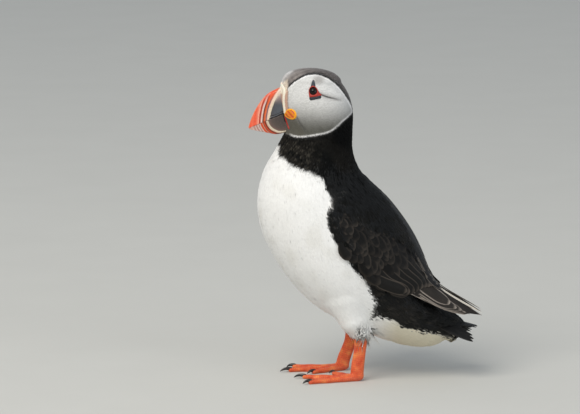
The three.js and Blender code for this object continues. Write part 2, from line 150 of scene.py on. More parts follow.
# three-cornered faces from one point to a ring of points
def fanFaces(middle, ring, flip=False):
    ring = np.asarray(ring)
    after = np.roll(ring, -1)
    pair = (after, ring) if flip else (ring, after)
    return np.stack([np.full(len(ring), middle), *pair], -1)


# the same faces for a number of copies, each copy's points after the last one's
def copiedFaces(faces, copies, pointsEach):
    return (faces[None] + (np.arange(copies) * pointsEach)[:, None, None]).reshape(-1, faces.shape[1])


# one mesh object from points in mm and lists of faces, with its marks, unwrap and softened normals
def makePiece(name, points, faces, material, stands=(), marks=None, unwrap=None, normals=None):
    mesh = bpy.data.meshes.new(name)
    corners = np.concatenate([f.ravel() for f in faces]).astype(np.int32)
    sizes = np.concatenate([np.full(len(f), f.shape[1]) for f in faces])
    starts = np.concatenate([[0], np.cumsum(sizes)[:-1]]).astype(np.int32)
    mesh.vertices.add(len(points))
    mesh.vertices.foreach_set("co", (np.asarray(points, float) * mm).ravel())
    mesh.loops.add(len(corners))
    mesh.loops.foreach_set("vertex_index", corners)
    mesh.polygons.add(len(sizes))
    mesh.polygons.foreach_set("loop_start", starts)
    mesh.update(calc_edges=True)
    mesh.shade_smooth()
    if unwrap is not None:
        layer = mesh.uv_layers.new(name="OFBake")
        layer.data.foreach_set("uv", np.clip(unwrap, 0.001, 0.999)[corners].ravel())
    for mark, values in (marks or {}).items():
        if values.ndim == 2:
            made = mesh.attributes.new(mark, "FLOAT_COLOR", "POINT")
            made.data.foreach_set("color", np.hstack([values, np.ones((len(values), 1))]).ravel())
        else:
            made = mesh.attributes.new(mark, "FLOAT", "POINT")
            made.data.foreach_set("value", values.astype(float).ravel())
    if normals is not None:
        mesh.normals_split_custom_set_from_vertices(normals.tolist())
    mesh.materials.append(material)
    piece = bpy.data.objects.new(name, mesh)
    bpy.context.scene.collection.objects.link(piece)
    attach(piece, "root")
    if stands:
        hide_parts(*stands)
    return piece


viewing = {"target": (-56.85, 0, 128.9), "away": 3000, "tilt": 9.5, "lens": 248.3}


def placeCamera():
    tilt = math.radians(viewing["tilt"])
    data = bpy.data.cameras.new("camera")
    data.lens = viewing["lens"]
    camera = bpy.data.objects.new("camera", data)
    toCamera = (0, -math.cos(tilt), math.sin(tilt))
    camera.location = [(t + c * viewing["away"]) * mm for t, c in zip(viewing["target"], toCamera)]
    camera.rotation_euler = (math.pi / 2 - tilt, 0, 0)
    bpy.context.scene.collection.objects.link(camera)
    bpy.context.scene.camera = camera


lighting = {
    "key": {"power": 95, "size": 2.6, "place": (-1.5, -1.9, 2.7), "colour": "#fffaf2"},
    "fill": {"power": 22, "size": 2.4, "place": (2.0, -2.2, 1.1), "colour": "#eef3fa"},
    "sky": "#dfe6ee",
    "skyStrength": 0.62,
    "floor": "#c9c8c2",
}


def placeLight():
    for name in ("key", "fill"):
        look = lighting[name]
        data = bpy.data.lights.new(name, "AREA")
        data.shape = "DISK"
        data.size = look["size"]
        data.energy = look["power"]
        data.color = linear(look["colour"])
        lamp = bpy.data.objects.new(name, data)
        lamp.location = look["place"]
        aim = np.array([0, 0, 0.12]) - look["place"]
        flat = math.hypot(aim[0], aim[1])
        lamp.rotation_euler = (math.pi / 2 + math.atan2(aim[2], flat), 0, math.atan2(-aim[0], aim[1]))
        bpy.context.scene.collection.objects.link(lamp)
    world = bpy.data.worlds.new("sky")
    world.use_nodes = True
    sky = world.node_tree.nodes["Background"]
    sky.inputs["Color"].default_value = (*linear(lighting["sky"]), 1)
    sky.inputs["Strength"].default_value = lighting["skyStrength"]
    bpy.context.scene.world = world


# painted plywood floor, matt: an even pale ground that the white breast still stands out from
def layFloor():
    material, tree, shader = newMaterial("matt painted floor", {"Roughness": 0.9})
    place = addNode(tree, "TexCoord")
    speckle = addNode(tree, "TexNoise", {"Scale": 14, "Detail": 6}, {"Vector": place.outputs["Object"]})
    shade = addNode(tree, "Mix", {"data_type": "RGBA", 6: lighting["floor"], 7: "#c4c3bd"},
                    {0: speckle.outputs["Fac"]})
    tree.links.new(shade.outputs[2], shader.inputs["Base Color"])
    side = np.linspace(-9, 9, 3)
    across, along = np.meshgrid(side, side)
    points = np.stack([across, along, np.full_like(across, -0.00005)], -1).reshape(-1, 3)
    mesh = bpy.data.meshes.new("floor")
    mesh.from_pydata(points.tolist(), [], gridFaces(3, 3).tolist())
    mesh.materials.append(material)
    floor = bpy.data.objects.new("floor", mesh)
    bpy.context.scene.collection.objects.link(floor)


placeCamera()
placeLight()
layFloor()
bpy.context.scene.view_settings.view_transform = "Standard"
print("camera, light and floor placed")

# Each row: front x, z and back x, z of a flat oval section, its half width, how far its widest line
# leans to the back, how far the folded wings stand out at the back and the side, how deep the coat is
# over the skin, and how long its feathers are.
body = {
    "sections": [
        (-62.2, 225.4, -18.9, 223.2, 18.6, 0.16, 1, 1, 0.6, 3.4),
        (-64.6, 215.5, -13.2, 213.6, 22.6, 0.2, 1, 1, 0.6, 3.4),
        (-63.4, 202.5, -10.2, 201, 24.4, 0.22, 1, 1, 0.6, 3.8),
        (-60.4, 188.4, -10.4, 187, 25.2, 0.16, 1, 1, 0.8, 4.4),
        (-66.2, 174.6, -10.4, 172.4, 28.4, 0.04, 1, 1, 1.0, 5.6),
        (-76.2, 156.6, -6.2, 159.4, 36, 0, 1.2, 1.2, 1.2, 7),
        (-80.9, 136.2, 2, 147.8, 42.2, -0.02, 1.9, 1.8, 1.4, 8),
        (-78.8, 115, 13, 135.2, 44.6, -0.02, 2.9, 2.4, 1.5, 9),
        (-70.2, 94.6, 22.4, 119, 45, -0.04, 5.1, 2.8, 1.7, 10),
        (-57.3, 75, 28.6, 105.4, 43, -0.08, 6.8, 3.2, 1.8, 11),
        (-40.6, 57.2, 34.8, 90.4, 38.6, -0.1, 7.6, 4, 1.9, 12),
        (-19.4, 43.8, 42, 74.6, 32, -0.06, 7, 4.6, 1.9, 13),
        (4, 32.6, 50.4, 61.8, 25.4, 0, 8, 5, 1.9, 15),
        (28, 24.6, 59.4, 52.8, 19.6, 0.06, 8, 5, 1.8, 16),
        (48, 23.2, 68, 46.8, 13.4, 0.1, 8, 5, 1.6, 15),
        (60, 28.4, 73, 42.4, 8.2, 0.1, 8, 5, 1.4, 13),
    ],
    "domeShare": 0.08,
    "crownRise": 9.2,
    "rumpRise": 3.5,
    "rows": 460,
    "columns": 384,
    "skinRows": 300,
    "skinColumns": 256,
    "roots": 50000,
    "feather": 0.62,
}


def sectionShare(s):
    return (s - body["domeShare"]) / (1 - 2 * body["domeShare"])


# the oval section at s: its middle, its line from front to back, its half depth, half width and lean
def section(s, covered):
    row = reading(body["sections"], sectionShare(s))
    front, back = row[..., 0:2], row[..., 2:4]
    along = unit(back - front)
    back = back + along * row[..., 6:7] * covered
    dome = body["domeShare"]
    beyond = np.clip(np.maximum(dome - s, s - 1 + dome) / dome, 0, 1)
    shrink = np.sqrt(1 - beyond ** 2)
    lifted = np.where(s < 0.5, body["crownRise"], -body["rumpRise"]) * beyond
    middle = (front + back) / 2 + np.stack([-along[..., 1], along[..., 0]], -1) * lifted[..., None]
    depth = np.linalg.norm(back - front, axis=-1) / 2 * shrink
    half = (row[..., 4] + row[..., 7] * covered) * shrink
    return middle, along, depth, half, row[..., 5]


# a point of the oval: v goes from the front outline round by the right side and back by the left
def loftPoint(s, v, covered=0.0):
    middle, along, depth, half, lean = section(s, covered)
    toBack = -np.cos(2 * np.pi * v)
    flat = middle + along * (depth * toBack)[..., None]
    level = half * np.sin(2 * np.pi * v) * (1 + lean * toBack)
    return np.stack([flat[..., 0], level, flat[..., 1]], -1)


# the left-side s and v that a side view shows at x, z, found by halving the range of sections
def fromSide(x, z, covered=0.0):
    x, z = np.broadcast_arrays(np.asarray(x, float), np.asarray(z, float))
    low, high = np.zeros(x.shape), np.ones(x.shape)
    for _ in range(26):
        s = (low + high) / 2
        middle, along, depth, half, lean = section(s, covered)
        over = along[..., 0] * (z - middle[..., 1]) > along[..., 1] * (x - middle[..., 0])
        low, high = np.where(over, low, s), np.where(over, s, high)
    middle, along, depth, half, lean = section(low, covered)
    toBack = ((x - middle[..., 0]) * along[..., 0] + (z - middle[..., 1]) * along[..., 1]) / depth
    return low, 1 - np.arccos(np.clip(-toBack, -1, 1)) / (2 * np.pi)


outlines = {
    "wing": [(4, 158), (-8, 153.5), (-19, 147.5), (-28, 140), (-30.8, 131.8), (-29.8, 125), (-27.4, 118),
             (-21.6, 106.7), (-8.1, 89.1), (4, 79), (19, 73.6), (34, 68), (44, 62), (60, 60), (70, 100),
             (40, 150), (10, 165)],
    "face": [(-66, 216), (-60.4, 217.5), (-57.6, 221.2), (-53.4, 225.2), (-48.4, 228.5), (-43.5, 230.3),
             (-38.6, 230.7), (-33.6, 230), (-28.7, 227.9), (-23.8, 224.3), (-20.1, 220.4), (-16.3, 215.3),
             (-13.2, 210), (-11, 205.4), (-9.8, 202.5), (-11.3, 200.7), (-13.9, 199.1), (-17.7, 196.7),
             (-21.4, 193.4), (-26.3, 189.9), (-31.2, 188.2), (-36.2, 187.2), (-41.1, 186.1), (-45.9, 185.2),
             (-50.9, 184.5), (-54.5, 184.8), (-58.3, 185.6), (-70, 186)],
    "white": [(-95, 176.5), (-64.5, 175.8), (-65.5, 172.4), (-64.5, 169.1), (-61.3, 168.8), (-57.9, 165.8),
              (-54.1, 163.9), (-50.8, 163.2), (-47, 161.2), (-42.3, 160.5), (-38.6, 158.6), (-35.2, 157.3),
              (-31.9, 154.5), (-30.7, 150), (-29.1, 146.4), (-26.3, 142.7), (-26.2, 136.3), (-29, 133.2),
              (-29.5, 127.1), (-28.5, 120.4), (-24.5, 111.5), (-19.9, 104.8), (-15.1, 97.4), (-10.3, 89.9),
              (-5.6, 84.9), (-0.8, 79.7), (1.6, 73.2), (6.9, 62.8), (5.2, 55.6), (3.2, 48), (6.5, 49.5),
              (9, 50.8), (14.8, 48.8), (21.4, 47.3), (28.3, 40.8), (38.6, 39), (53.9, 34.3), (66.1, 28.7),
              (90, 24), (95, -30), (-95, -30)],
    "jowl": [(-51.6, 199.4), (-49.4, 195.2), (-46.6, 191.8), (-44.0, 190.0)],
    "furrow": [(-35.4, 217.6), (-29.4, 215.2), (-24.5, 213.9), (-19.7, 212.1), (-17.2, 210.1)],
    "scapular": [(-23.2, 140.5), (-15.7, 134.1), (-9.1, 130.1), (-0.9, 125.3), (7.2, 123.5), (19.3, 116.5),
                 (25.1, 112.9), (36.6, 97.2), (48.4, 77.4), (80, 100), (40, 170), (-24, 170)],
    "browPatch": [(-58.8, 226.4), (-58.2, 221.5), (-60, 216), (-66, 215), (-66, 221)],
    # the forehead's front edge, where a pale line of painted rim light runs
    "foreheadRimLight": [(-56.5, 231.5), (-61, 226.8), (-64.5, 220.5)],
    "cere": [(-60.2, 200.4), (-61.0, 205.8), (-61.4, 210.3), (-61.3, 214.6), (-61.1, 217.6), (-61.7, 219.7),
             (-62.8, 221.1)],
    "smoke": [(-66, 199.6), (-56, 199.2), (-51.7, 198.1), (-48.6, 193), (-45.7, 187.4), (-46, 182),
              (-62, 182), (-66, 190)],
}


# how fully the folded wing covers the body there, 0 to 1, easing in from the shoulder
def underWing(x, z):
    return rise(-0.5, 4.5, insideOf(x, z, outlines["wing"])) * (0.2 + 0.8 * rise(160, 141, z))


# how far a point lies inside the grey face; both sides of the head are alike
def insideFace(points):
    return insideOf(points[..., 0], points[..., 2], outlines["face"])


# some of these paint light and shade: the pale rim on the forehead's front, the dark lines in the face's creases and
# the grey band above the furrow
plumage = {
    "white": "#f0efec", "whiteShade": "#e2e0da", "cream": "#cfc5a8", "black": "#070808", "charcoal": "#26231f",
    "collar": "#5b564d",
    "crown": "#524b49", "crownFront": "#8d8580", "face": "#d2d1ce", "faceShade": "#4a4941", "faceEdgeAndRimLight": "#eceae8",
    "smoke": "#56534a", "eyeGreyAndFurrowShade": "#96928e", "furrow": "#2b2825", "browPatch": "#e3d2bd", "cereSkin": "#c49f8b",
    "cereLine": "#7c6455",
}


# the bird's markings as a colour at each point, with painted rim light on the forehead's front and painted
# shade in and above the face's creases: ragged is the feathers' own scatter at the edges, mm
def markings(points, ragged=0.0):
    x, y, z = np.moveaxis(points, -1, 0)
    ragged = np.broadcast_to(ragged, x.shape)
    tint = {name: linear(value) for name, value in plumage.items()}
    mixed = np.broadcast_to(tint["black"], points.shape).copy()

    def lay(colour, share):
        mixed[:] = mixed + (tint[colour] - mixed) * share[..., None]

    lay("charcoal", rise(0.2, 1.4, drift(points, 38, 11)) * 0.35)
    front = rise(187, 180, z) * rise(154, 166, z) * rise(-26, -56, x)
    lay("charcoal", front * rise(-1.2, 0.8, drift(points, 9, 17) + 0.5 * ragged) * 0.6)
    lay("collar", front * rise(0.1, 1.6, drift(points, 3.2, 18) + 0.6 * ragged) * 0.55)
    flank = rise(84, 70, z) * rise(-2, 4, x)
    lay("charcoal", flank * rise(0.5, 1.6, drift(points * (0.35, 1, 1), 4, 37) + 0.4 * ragged) * 0.9)
    face = insideFace(points)
    crown = rise(205, 214, z) * rise(-6, -15, x) * rise(0.5, 2.2, -face + ragged * 0.3)
    streaks = 0.75 + 0.25 * drift(points, 5, 19)
    lay("crown", crown)
    lay("crownFront", crown * rise(-28, -54, x) * streaks)
    nape = rise(-28, -18, x) * rise(5.5, 3.0, np.abs(y) + ragged * 0.4)
    cheek = rise(-0.3, 0.3, face + ragged * 0.3) * (1 - nape)
    lay("face", cheek)
    lay("faceShade", cheek * rise(215, 189, z) * (0.95 + 0.01 * drift(points, 7, 23)))
    smoke = rise(-0.6, 1.4, insideOf(x, z, outlines["smoke"]) + ragged * 0.5)
    lay("smoke", cheek * smoke * (0.8 + 0.08 * drift(points, 4, 29)))
    # a pale edge along the border of the face patch
    lay("faceEdgeAndRimLight", cheek * rise(1.3, 0.4, face) * rise(-58, -55, x) * 0.85)
    eyeAway = np.hypot((x + 35.8) / 1.5, z - 227.4)
    # greyer round the eye
    lay("eyeGreyAndFurrowShade", cheek * rise(4.2, 1.0, eyeAway) * 0.7)
    away, along = toLine(x, z, outlines["furrow"])
    # painted shade: a grey band above the furrow behind the eye
    lay("eyeGreyAndFurrowShade", cheek * rise(3.8, 0.6, away) * rise(1.0, 0.5, along) * (z > 212) * 0.4)
    # painted shade: dark along the furrow's crease
    lay("furrow", cheek * np.exp(-(away / 0.65) ** 2) * rise(1.05, 0.2, along) * 0.95)
    # painted shade: dark along the crease that runs down and back from the gape
    away, along = toLine(x, z, outlines["jowl"])
    lay("furrow", cheek * np.exp(-(away / 0.7) ** 2) * rise(1.0, 0.3, along) * 0.55)
    fromCere, _ = toLine(x, z, outlines["cere"])
    lay("cereLine", (z > 198) * rise(3.5, 2.9, fromCere) * 0.75)
    lay("cereSkin", (z > 198) * rise(2.9, 2.4, fromCere))
    lay("browPatch", rise(-0.7, 0.8, insideOf(x, z, outlines["browPatch"]) + ragged * 0.4))
    # painted rim light: a pale line along the forehead's front edge, on the middle of the head
    away, _ = toLine(x, z, outlines["foreheadRimLight"])
    lay("faceEdgeAndRimLight", np.exp(-(away / 1.9) ** 2 - (y / 7) ** 2) * rise(216, 219, z) * (0.6 + 0.2 * streaks))
    white = rise(-0.8, 0.8, insideOf(x, z, outlines["white"]) + ragged) * rise(181, 179, z)
    lay("white", white)
    lay("whiteShade", white * rise(0.2, 1.6, drift(points, 24, 5)) * 0.6)
    lay("cream", white * rise(58, 40, z) * rise(4, 26, x) * 0.8)
    streaked = rise(46, 40, z) * rise(-9, -5, x) * rise(3, 0, x) * rise(-0.3, 0.4, ragged)
    lay("black", white * streaked * rise(11, 14, np.abs(y)) * 0.85)
    return mixed


# A surface is a table of points over a and b, each 0 to 1. Its slopes, normals and area are kept with it,
# and the lie of the feathers is a level direction at each place.
def surfaceOf(points, wraps, outwards=1):
    rows, columns = points.shape[:2]
    slopeA = np.gradient(points, axis=0) * (rows - 1)
    if wraps:
        slopeB = (np.roll(points, -1, axis=1) - np.roll(points, 1, axis=1)) / 2 * columns
    else:
        slopeB = np.gradient(points, axis=1) * (columns - 1)
    cross = np.cross(slopeA, slopeB)
    area = np.linalg.norm(cross, axis=-1)
    normal = unit(cross) * outwards
    return {"points": points, "slopeA": slopeA, "slopeB": slopeB, "normal": normal, "area": area,
            "wraps": wraps}


# gives the surface the way that its feathers lie
def setLie(surface, ways):
    normal = surface["normal"]
    surface["lie"] = unit(ways - normal * dot(ways, normal))
    parts = ("points", "slopeA", "slopeB", "normal", "lie")
    surface["table"] = np.concatenate([surface[part] for part in parts], -1)
    return surface


# blends the four table entries round each place
def lookUp(table, a, b, wraps):
    rows, columns = table.shape[:2]
    atA = np.clip(a, 0, 1) * (rows - 1)
    i = np.minimum(atA.astype(int), rows - 2)
    if wraps:
        atB = (b % 1) * columns
        j = np.floor(atB).astype(int) % columns
        after = (j + 1) % columns
        shareB = atB - np.floor(atB)
    else:
        atB = np.clip(b, 0, 1) * (columns - 1)
        j = np.minimum(atB.astype(int), columns - 2)
        after = j + 1
        shareB = atB - j
    extra = (1,) * (table.ndim - 2)
    shareA = (atA - i).reshape(a.shape + extra)
    shareB = shareB.reshape(a.shape + extra)
    upper = table[i, j] * (1 - shareB) + table[i, after] * shareB
    lower = table[i + 1, j] * (1 - shareB) + table[i + 1, after] * shareB
    return upper * (1 - shareA) + lower * shareA


def readSurface(surface, a, b):
    read = lookUp(surface["table"], a, b, surface["wraps"])
    point, slopeA, slopeB, normal, lie = np.split(read, 5, axis=-1)
    return point, slopeA, slopeB, unit(normal), unit(lie)


# the change of a and b that moves a place by a level distance: the two slopes' equations solved
def stepOver(slopeA, slopeB, move):
    aa, ab, bb = dot(slopeA, slopeA), dot(slopeA, slopeB), dot(slopeB, slopeB)
    am, bm = dot(slopeA, move), dot(slopeB, move)
    whole = np.maximum(aa * bb - ab * ab, 1e-6)
    return ((bb * am - ab * bm) / whole)[..., 0], ((aa * bm - ab * am) / whole)[..., 0]


# walks along the lie from each root, turned by an angle, and gives the place, normal, way and a, b at
# each share of the length. Past the surface's edge it goes straight on.
def walk(surface, a, b, turn, length, shares):
    a, b = a.copy(), b.copy()
    carried = np.zeros(a.shape + (3,))
    found = []
    last = 0.0
    point, slopeA, slopeB, normal, lie = readSurface(surface, a, b)
    for share in shares:
        if share > last:
            way = lie * np.cos(turn)[:, None] + np.cross(normal, lie) * np.sin(turn)[:, None]
            move = way * (length * (share - last))[:, None]
            changeA, changeB = stepOver(slopeA, slopeB, move)
            nextA, nextB = a + changeA, b + changeB
            off = (nextA < 0) | (nextA > 1)
            if not surface["wraps"]:
                off |= (nextB < 0) | (nextB > 1)
                nextB = np.clip(nextB, 0, 1)
            nextA = np.clip(nextA, 0, 1)
            before = point
            point, slopeA, slopeB, normal, lie = readSurface(surface, nextA, nextB)
            carried += np.where(off[:, None], before + move - point, 0)
            a, b = nextA, nextB
            last = share
        way = lie * np.cos(turn)[:, None] + np.cross(normal, lie) * np.sin(turn)[:, None]
        found.append((point + carried, normal, way, a, b))
    return [np.stack(part) for part in zip(*found)]


# spreads roots over a surface as thickly as weight says, by a golden-ratio sequence
def scatter(surface, weight, count, seed=0):
    area = surface["area"] * weight
    rows, columns = area.shape
    rowTotals = np.cumsum(area.sum(1))
    index = np.arange(count) + seed * 1013
    first = (0.5 + index * 0.7548776662) % 1
    second = (0.5 + index * 0.5698402910) % 1
    place = np.interp(first * rowTotals[-1], np.concatenate([[0], rowTotals]), np.arange(rows + 1.0))
    row = np.minimum(place.astype(int), rows - 1)
    within = np.cumsum(area, axis=1)
    within = within / np.maximum(within[:, -1:], 1e-12)
    steps = (within + np.arange(rows)[:, None]).ravel()
    found = np.searchsorted(steps, row + second)
    column = np.clip(found - row * columns, 0, columns - 1)
    jitter = (index * 0.3247179572) % 1
    a = np.clip((place - 0.5) / (rows - 1), 0, 1)
    b = (column + jitter - 0.5) / (columns if surface["wraps"] else columns - 1)
    return a, b % 1 if surface["wraps"] else np.clip(b, 0, 1)


thighs = {
    "left": {"line": [(-13, -20, 62), (-8.5, -20.5, 48), (-4.2, -19.6, 39.5)], "radii": (16, 12, 7.6)},
    "right": {"line": [(-13, 20, 62), (-11.5, 20.5, 47), (-9.4, 19.8, 36.5)], "radii": (16, 12, 7.6)},
    "blend": 5.0,
}


# distance to a thigh: round cones from point to point, negative inside
def toThigh(points, thigh):
    line = np.array(thigh["line"], float)
    best = np.full(points.shape[:-1], np.inf)
    for start, end, near, far in zip(line[:-1], line[1:], thigh["radii"][:-1], thigh["radii"][1:]):
        way = end - start
        share = np.clip(((points - start) @ way) / (way @ way), 0, 1)
        away = np.linalg.norm(points - start - share[..., None] * way, axis=-1)
        best = np.minimum(best, away - near - (far - near) * share)
    return best


# pushes the surface out along its normals over the thighs, with a soft fold where they meet the body
def pushOverThighs(points, normals):
    push = np.zeros(points.shape[:-1])
    blend = thighs["blend"]
    for thigh in (thighs["left"], thighs["right"]):
        near = toThigh(points, thigh) < 16
        start, normal = points[near], normals[near]
        out = np.zeros(len(start))
        for height in np.arange(0.0, 26, 0.4):
            away = toThigh(start + normal * height, thigh)
            mix = np.clip(0.5 + 0.5 * (away - height) / blend, 0, 1)
            joined = away * (1 - mix) + height * mix - blend * mix * (1 - mix)
            out = np.where(joined < 0, height, out)
        push[near] = np.maximum(push[near], out)
    return push


# evens out a table a few times by averaging each entry with its neighbours
def evened(table, times):
    for _ in range(times):
        across = (np.roll(table, 1, axis=1) + np.roll(table, -1, axis=1)) / 2
        padded = np.concatenate([table[:1], table, table[-1:]])
        table = table * 0.5 + across * 0.25 + (padded[:-2] + padded[2:]) * 0.125
    return table


# relief of the face, mm outwards: the furrow behind the eye, the hollow before it, the brow over it
def faceRelief(points):
    x, y, z = np.moveaxis(points, -1, 0)
    away, along = toLine(x, z, outlines["furrow"])
    furrow = -0.55 * np.exp(-(away / 1.1) ** 2) * rise(1.0, 0.75, along)
    fold = 0.35 * np.exp(-((away - 2.2) / 1.6) ** 2) * rise(1.0, 0.7, along)
    hollow = -0.7 * np.exp(-((x + 50) / 5) ** 2 - ((z - 214) / 7) ** 2)
    brow = 0.5 * np.exp(-((x + 40) / 7) ** 2 - ((z - 227) / 2.6) ** 2)
    return (furrow + fold + hollow + brow) * rise(5, 10, np.abs(y))


# the outer form at s and v: the bare body, filled out where the folded wing lies over it
def outerPoint(s, v):
    bare = loftPoint(s, v)
    cover = underWing(bare[..., 0], bare[..., 2])
    point = bare + (loftPoint(s, v, 1.0) - bare) * cover[..., None]
    head = s < 0.3
    if head.any():
        way = np.stack([np.zeros_like(s), np.sign(point[..., 1]), np.zeros_like(s)], -1)
        point = point + way * np.where(head, faceRelief(point), 0)[..., None]
    return point


# direction of the lie: back from the bill over the head, down the neck, then along the body
def lieOfCoat(points, along):
    x, y, z = np.moveaxis(points, -1, 0)
    fromBill = np.stack([x + 74, y * 0.4, (z - 206) - 44 * rise(-36, -8, x)], -1)
    share = rise(178, 197, z)[..., None]
    ways = unit(fromBill) * share + unit(along) * (1 - share)
    leg = np.minimum(toThigh(points, thighs["left"]), toThigh(points, thighs["right"]))
    down = rise(3, -1, leg)[..., None] * rise(64, 46, z)[..., None]
    return ways * (1 - 0.8 * down) + np.array([-0.1, 0, -1.4]) * down


def makeBodySurface():
    s = np.linspace(0.0006, 0.9994, body["rows"])[:, None]
    v = (np.arange(body["columns"]) / body["columns"])[None]
    s, v = np.broadcast_arrays(s, v)
    form = surfaceOf(outerPoint(s, v), True, outwards=-1)
    push = evened(pushOverThighs(form["points"], form["normal"]), 3)
    surface = surfaceOf(form["points"] + form["normal"] * push[..., None], True, outwards=-1)
    return setLie(surface, lieOfCoat(surface["points"], form["slopeA"]))


# The head's own table, for its small feathers: a square over the crown whose middle is the crown's top,
# so that the lie runs across the top with no pole in its way. Radius goes with distance down the head.
headChart = {"size": 341, "lowest": 0.36, "roots": 27000}


def headPlaces(a, b):
    reach = np.linspace(0, headChart["lowest"], 400)
    side = np.stack([loftPoint(reach, np.full(400, v)) for v in (0.1, 0.25, 0.4)])
    distance = np.concatenate([[0], np.cumsum(np.linalg.norm(np.diff(side, axis=1), axis=-1).mean(0))])
    across, down = 2 * a - 1, 2 * b - 1
    radius = np.hypot(across, down)
    s = np.interp(radius * distance[-1], distance, reach)
    return s, (np.arctan2(down, across) / (2 * np.pi)) % 1, radius


def makeHeadSurface():
    steps = np.linspace(0, 1, headChart["size"])
    a, b = np.meshgrid(steps, steps, indexing="ij")
    s, v, radius = headPlaces(a, b)
    surface = surfaceOf(outerPoint(s, v), False, outwards=-1)
    surface["area"] = surface["area"] * (radius < 0.985)
    return setLie(surface, lieOfCoat(surface["points"], np.broadcast_to([0.0, 0, -1], s.shape + (3,))))


# depth of the coat over the skin: shallow on the face, deeper down the body
def coatDepth(s, points):
    depth = reading(np.array(body["sections"])[:, 8:9], sectionShare(s))[..., 0]
    face = rise(-1.5, 1.5, insideFace(points)) * rise(180, 184, points[..., 2])
    return depth + (0.3 - depth) * face


bodySurface = makeBodySurface()
headSurface = makeHeadSurface()
print("surfaces of the body and the head worked out")


# where a root at s and v lies on the skin's unwrap: s runs up it and v across
def unwrapPlace(s, v):
    return np.stack([0.02 + 0.96 * v, 0.02 + 0.96 * s], -1)


# bare skin with its down: what shows between the feathers keeps their colour, matt and finely pored
def skinMaterial():
    material, tree, shader = newMaterial("downy skin", {"Roughness": 0.85, "Specular IOR Level": 0.25})
    mark = addNode(tree, "Attribute", {"attribute_name": "plumage"})
    place = addNode(tree, "TexCoord")
    pores = addNode(tree, "TexNoise", {"Scale": 1 / (0.7 * mm), "Detail": 3},
                    {"Vector": place.outputs["Object"]})
    shade = addNode(tree, "MapRange", {1: 0.3, 2: 0.7, 3: 0.78, 4: 1.05}, {0: pores.outputs["Fac"]})
    colour = addNode(tree, "Mix", {"data_type": "RGBA", "blend_type": "MULTIPLY", 0: 1.0},
                     {6: mark.outputs["Color"], 7: shade.outputs[0]})
    tree.links.new(colour.outputs[2], shader.inputs["Base Color"])
    bump = addNode(tree, "Bump", {"Strength": 0.35, "Distance": 0.2 * mm}, {"Height": pores.outputs["Fac"]})
    tree.links.new(bump.outputs["Normal"], shader.inputs["Normal"])
    return material


# one skin over head, neck, trunk, wings' arms and thighs: the outer form drawn in by the coat's depth
def makeSkin():
    rows, columns = body["skinRows"], body["skinColumns"]
    a = np.linspace(0, 1, rows)[:, None]
    v = (np.arange(columns) / columns)[None]
    a, v = [part.ravel() for part in np.broadcast_arrays(a, v)]
    point, _, _, normal, _ = readSurface(bodySurface, a, v)
    s = 0.0006 + a * 0.9988
    points = point - normal * coatDepth(s, point)[:, None]
    ends = np.stack([points[:columns].mean(0), points[-columns:].mean(0)])
    marks = markings(np.concatenate([point, ends]))
    places = np.concatenate([unwrapPlace(s, v), unwrapPlace(np.array([0.0, 1.0]), np.array([0.5, 0.5]))])
    count = rows * columns
    faces = [gridFaces(rows, columns, wrapColumns=True),
             fanFaces(count, np.arange(columns), flip=True),
             fanFaces(count + 1, np.arange(columns) + count - columns)]
    stands = ("head", "neck", "trunk", "rump", "thigh_left", "thigh_right", "wing_left_arm", "wing_right_arm")
    makePiece("skin", np.concatenate([points, ends]), faces, skinMaterial(), stands,
              {"plumage": marks}, places)


makeSkin()
print("skin made")

# A lock is a thin three-sided blade: three rings of three points and a tip, closed at the root.
lock = {
    "shares": (0.0, 0.34, 0.7, 1.0),
    "widths": (0.55, 1.0, 0.72),
    "thick": 0.22,
    "soft": {"dark": 0.55, "light": 0.88},
}
lockFaces = [np.array([(0, 2, 1), (9, 6, 7), (9, 7, 8), (9, 8, 6)]),
             np.array([(r + i, r + (i + 1) % 3, r + 3 + (i + 1) % 3, r + 3 + i) for r in (0, 3) for i in range(3)])]


# The feathers that the locks belong to stand in staggered rows like roof tiles. Gives each place's share
# along its feather, from -0.5 at the base to 0.5 at the tip, and two random numbers of that feather.
def featherTiles(s, v):
    table = np.linspace(0, 1, 400)
    rings = loftPoint(table[:, None], np.linspace(0, 1, 33)[None])
    around = np.linalg.norm(np.diff(rings, axis=1), axis=-1).sum(1)
    down = np.linalg.norm(np.diff(rings[:, 8], axis=0), axis=-1)
    long = reading(np.array(body["sections"])[:, 9:10], sectionShare(table))[:, 0] * body["feather"]
    rows = np.concatenate([[0], np.cumsum(down / long[1:])])
    at = np.interp(s, table, rows)
    nearest, found = np.full(np.shape(s), np.inf), None
    for step in (0, 1):
        row = np.floor(at) + step
        tableAt = np.interp(row, rows, table)
        count = np.maximum(np.round(np.interp(tableAt, table, around / long / 0.9)), 8)
        across = v * count + 0.5 * (row % 2)
        column = np.round(across)
        chance = np.stack([np.sin(row * 12.99 + (column % count) * k) * 437.58 % 1 for k in (78.23, 31.7)])
        along = at - row - 0.5 * (chance[1] - 0.5)
        away = np.hypot(along, across - column)
        closer = away < nearest
        values = np.stack([along, *chance])
        found = values if found is None else np.where(closer, values, found)
        nearest = np.minimum(nearest, away)
    return found


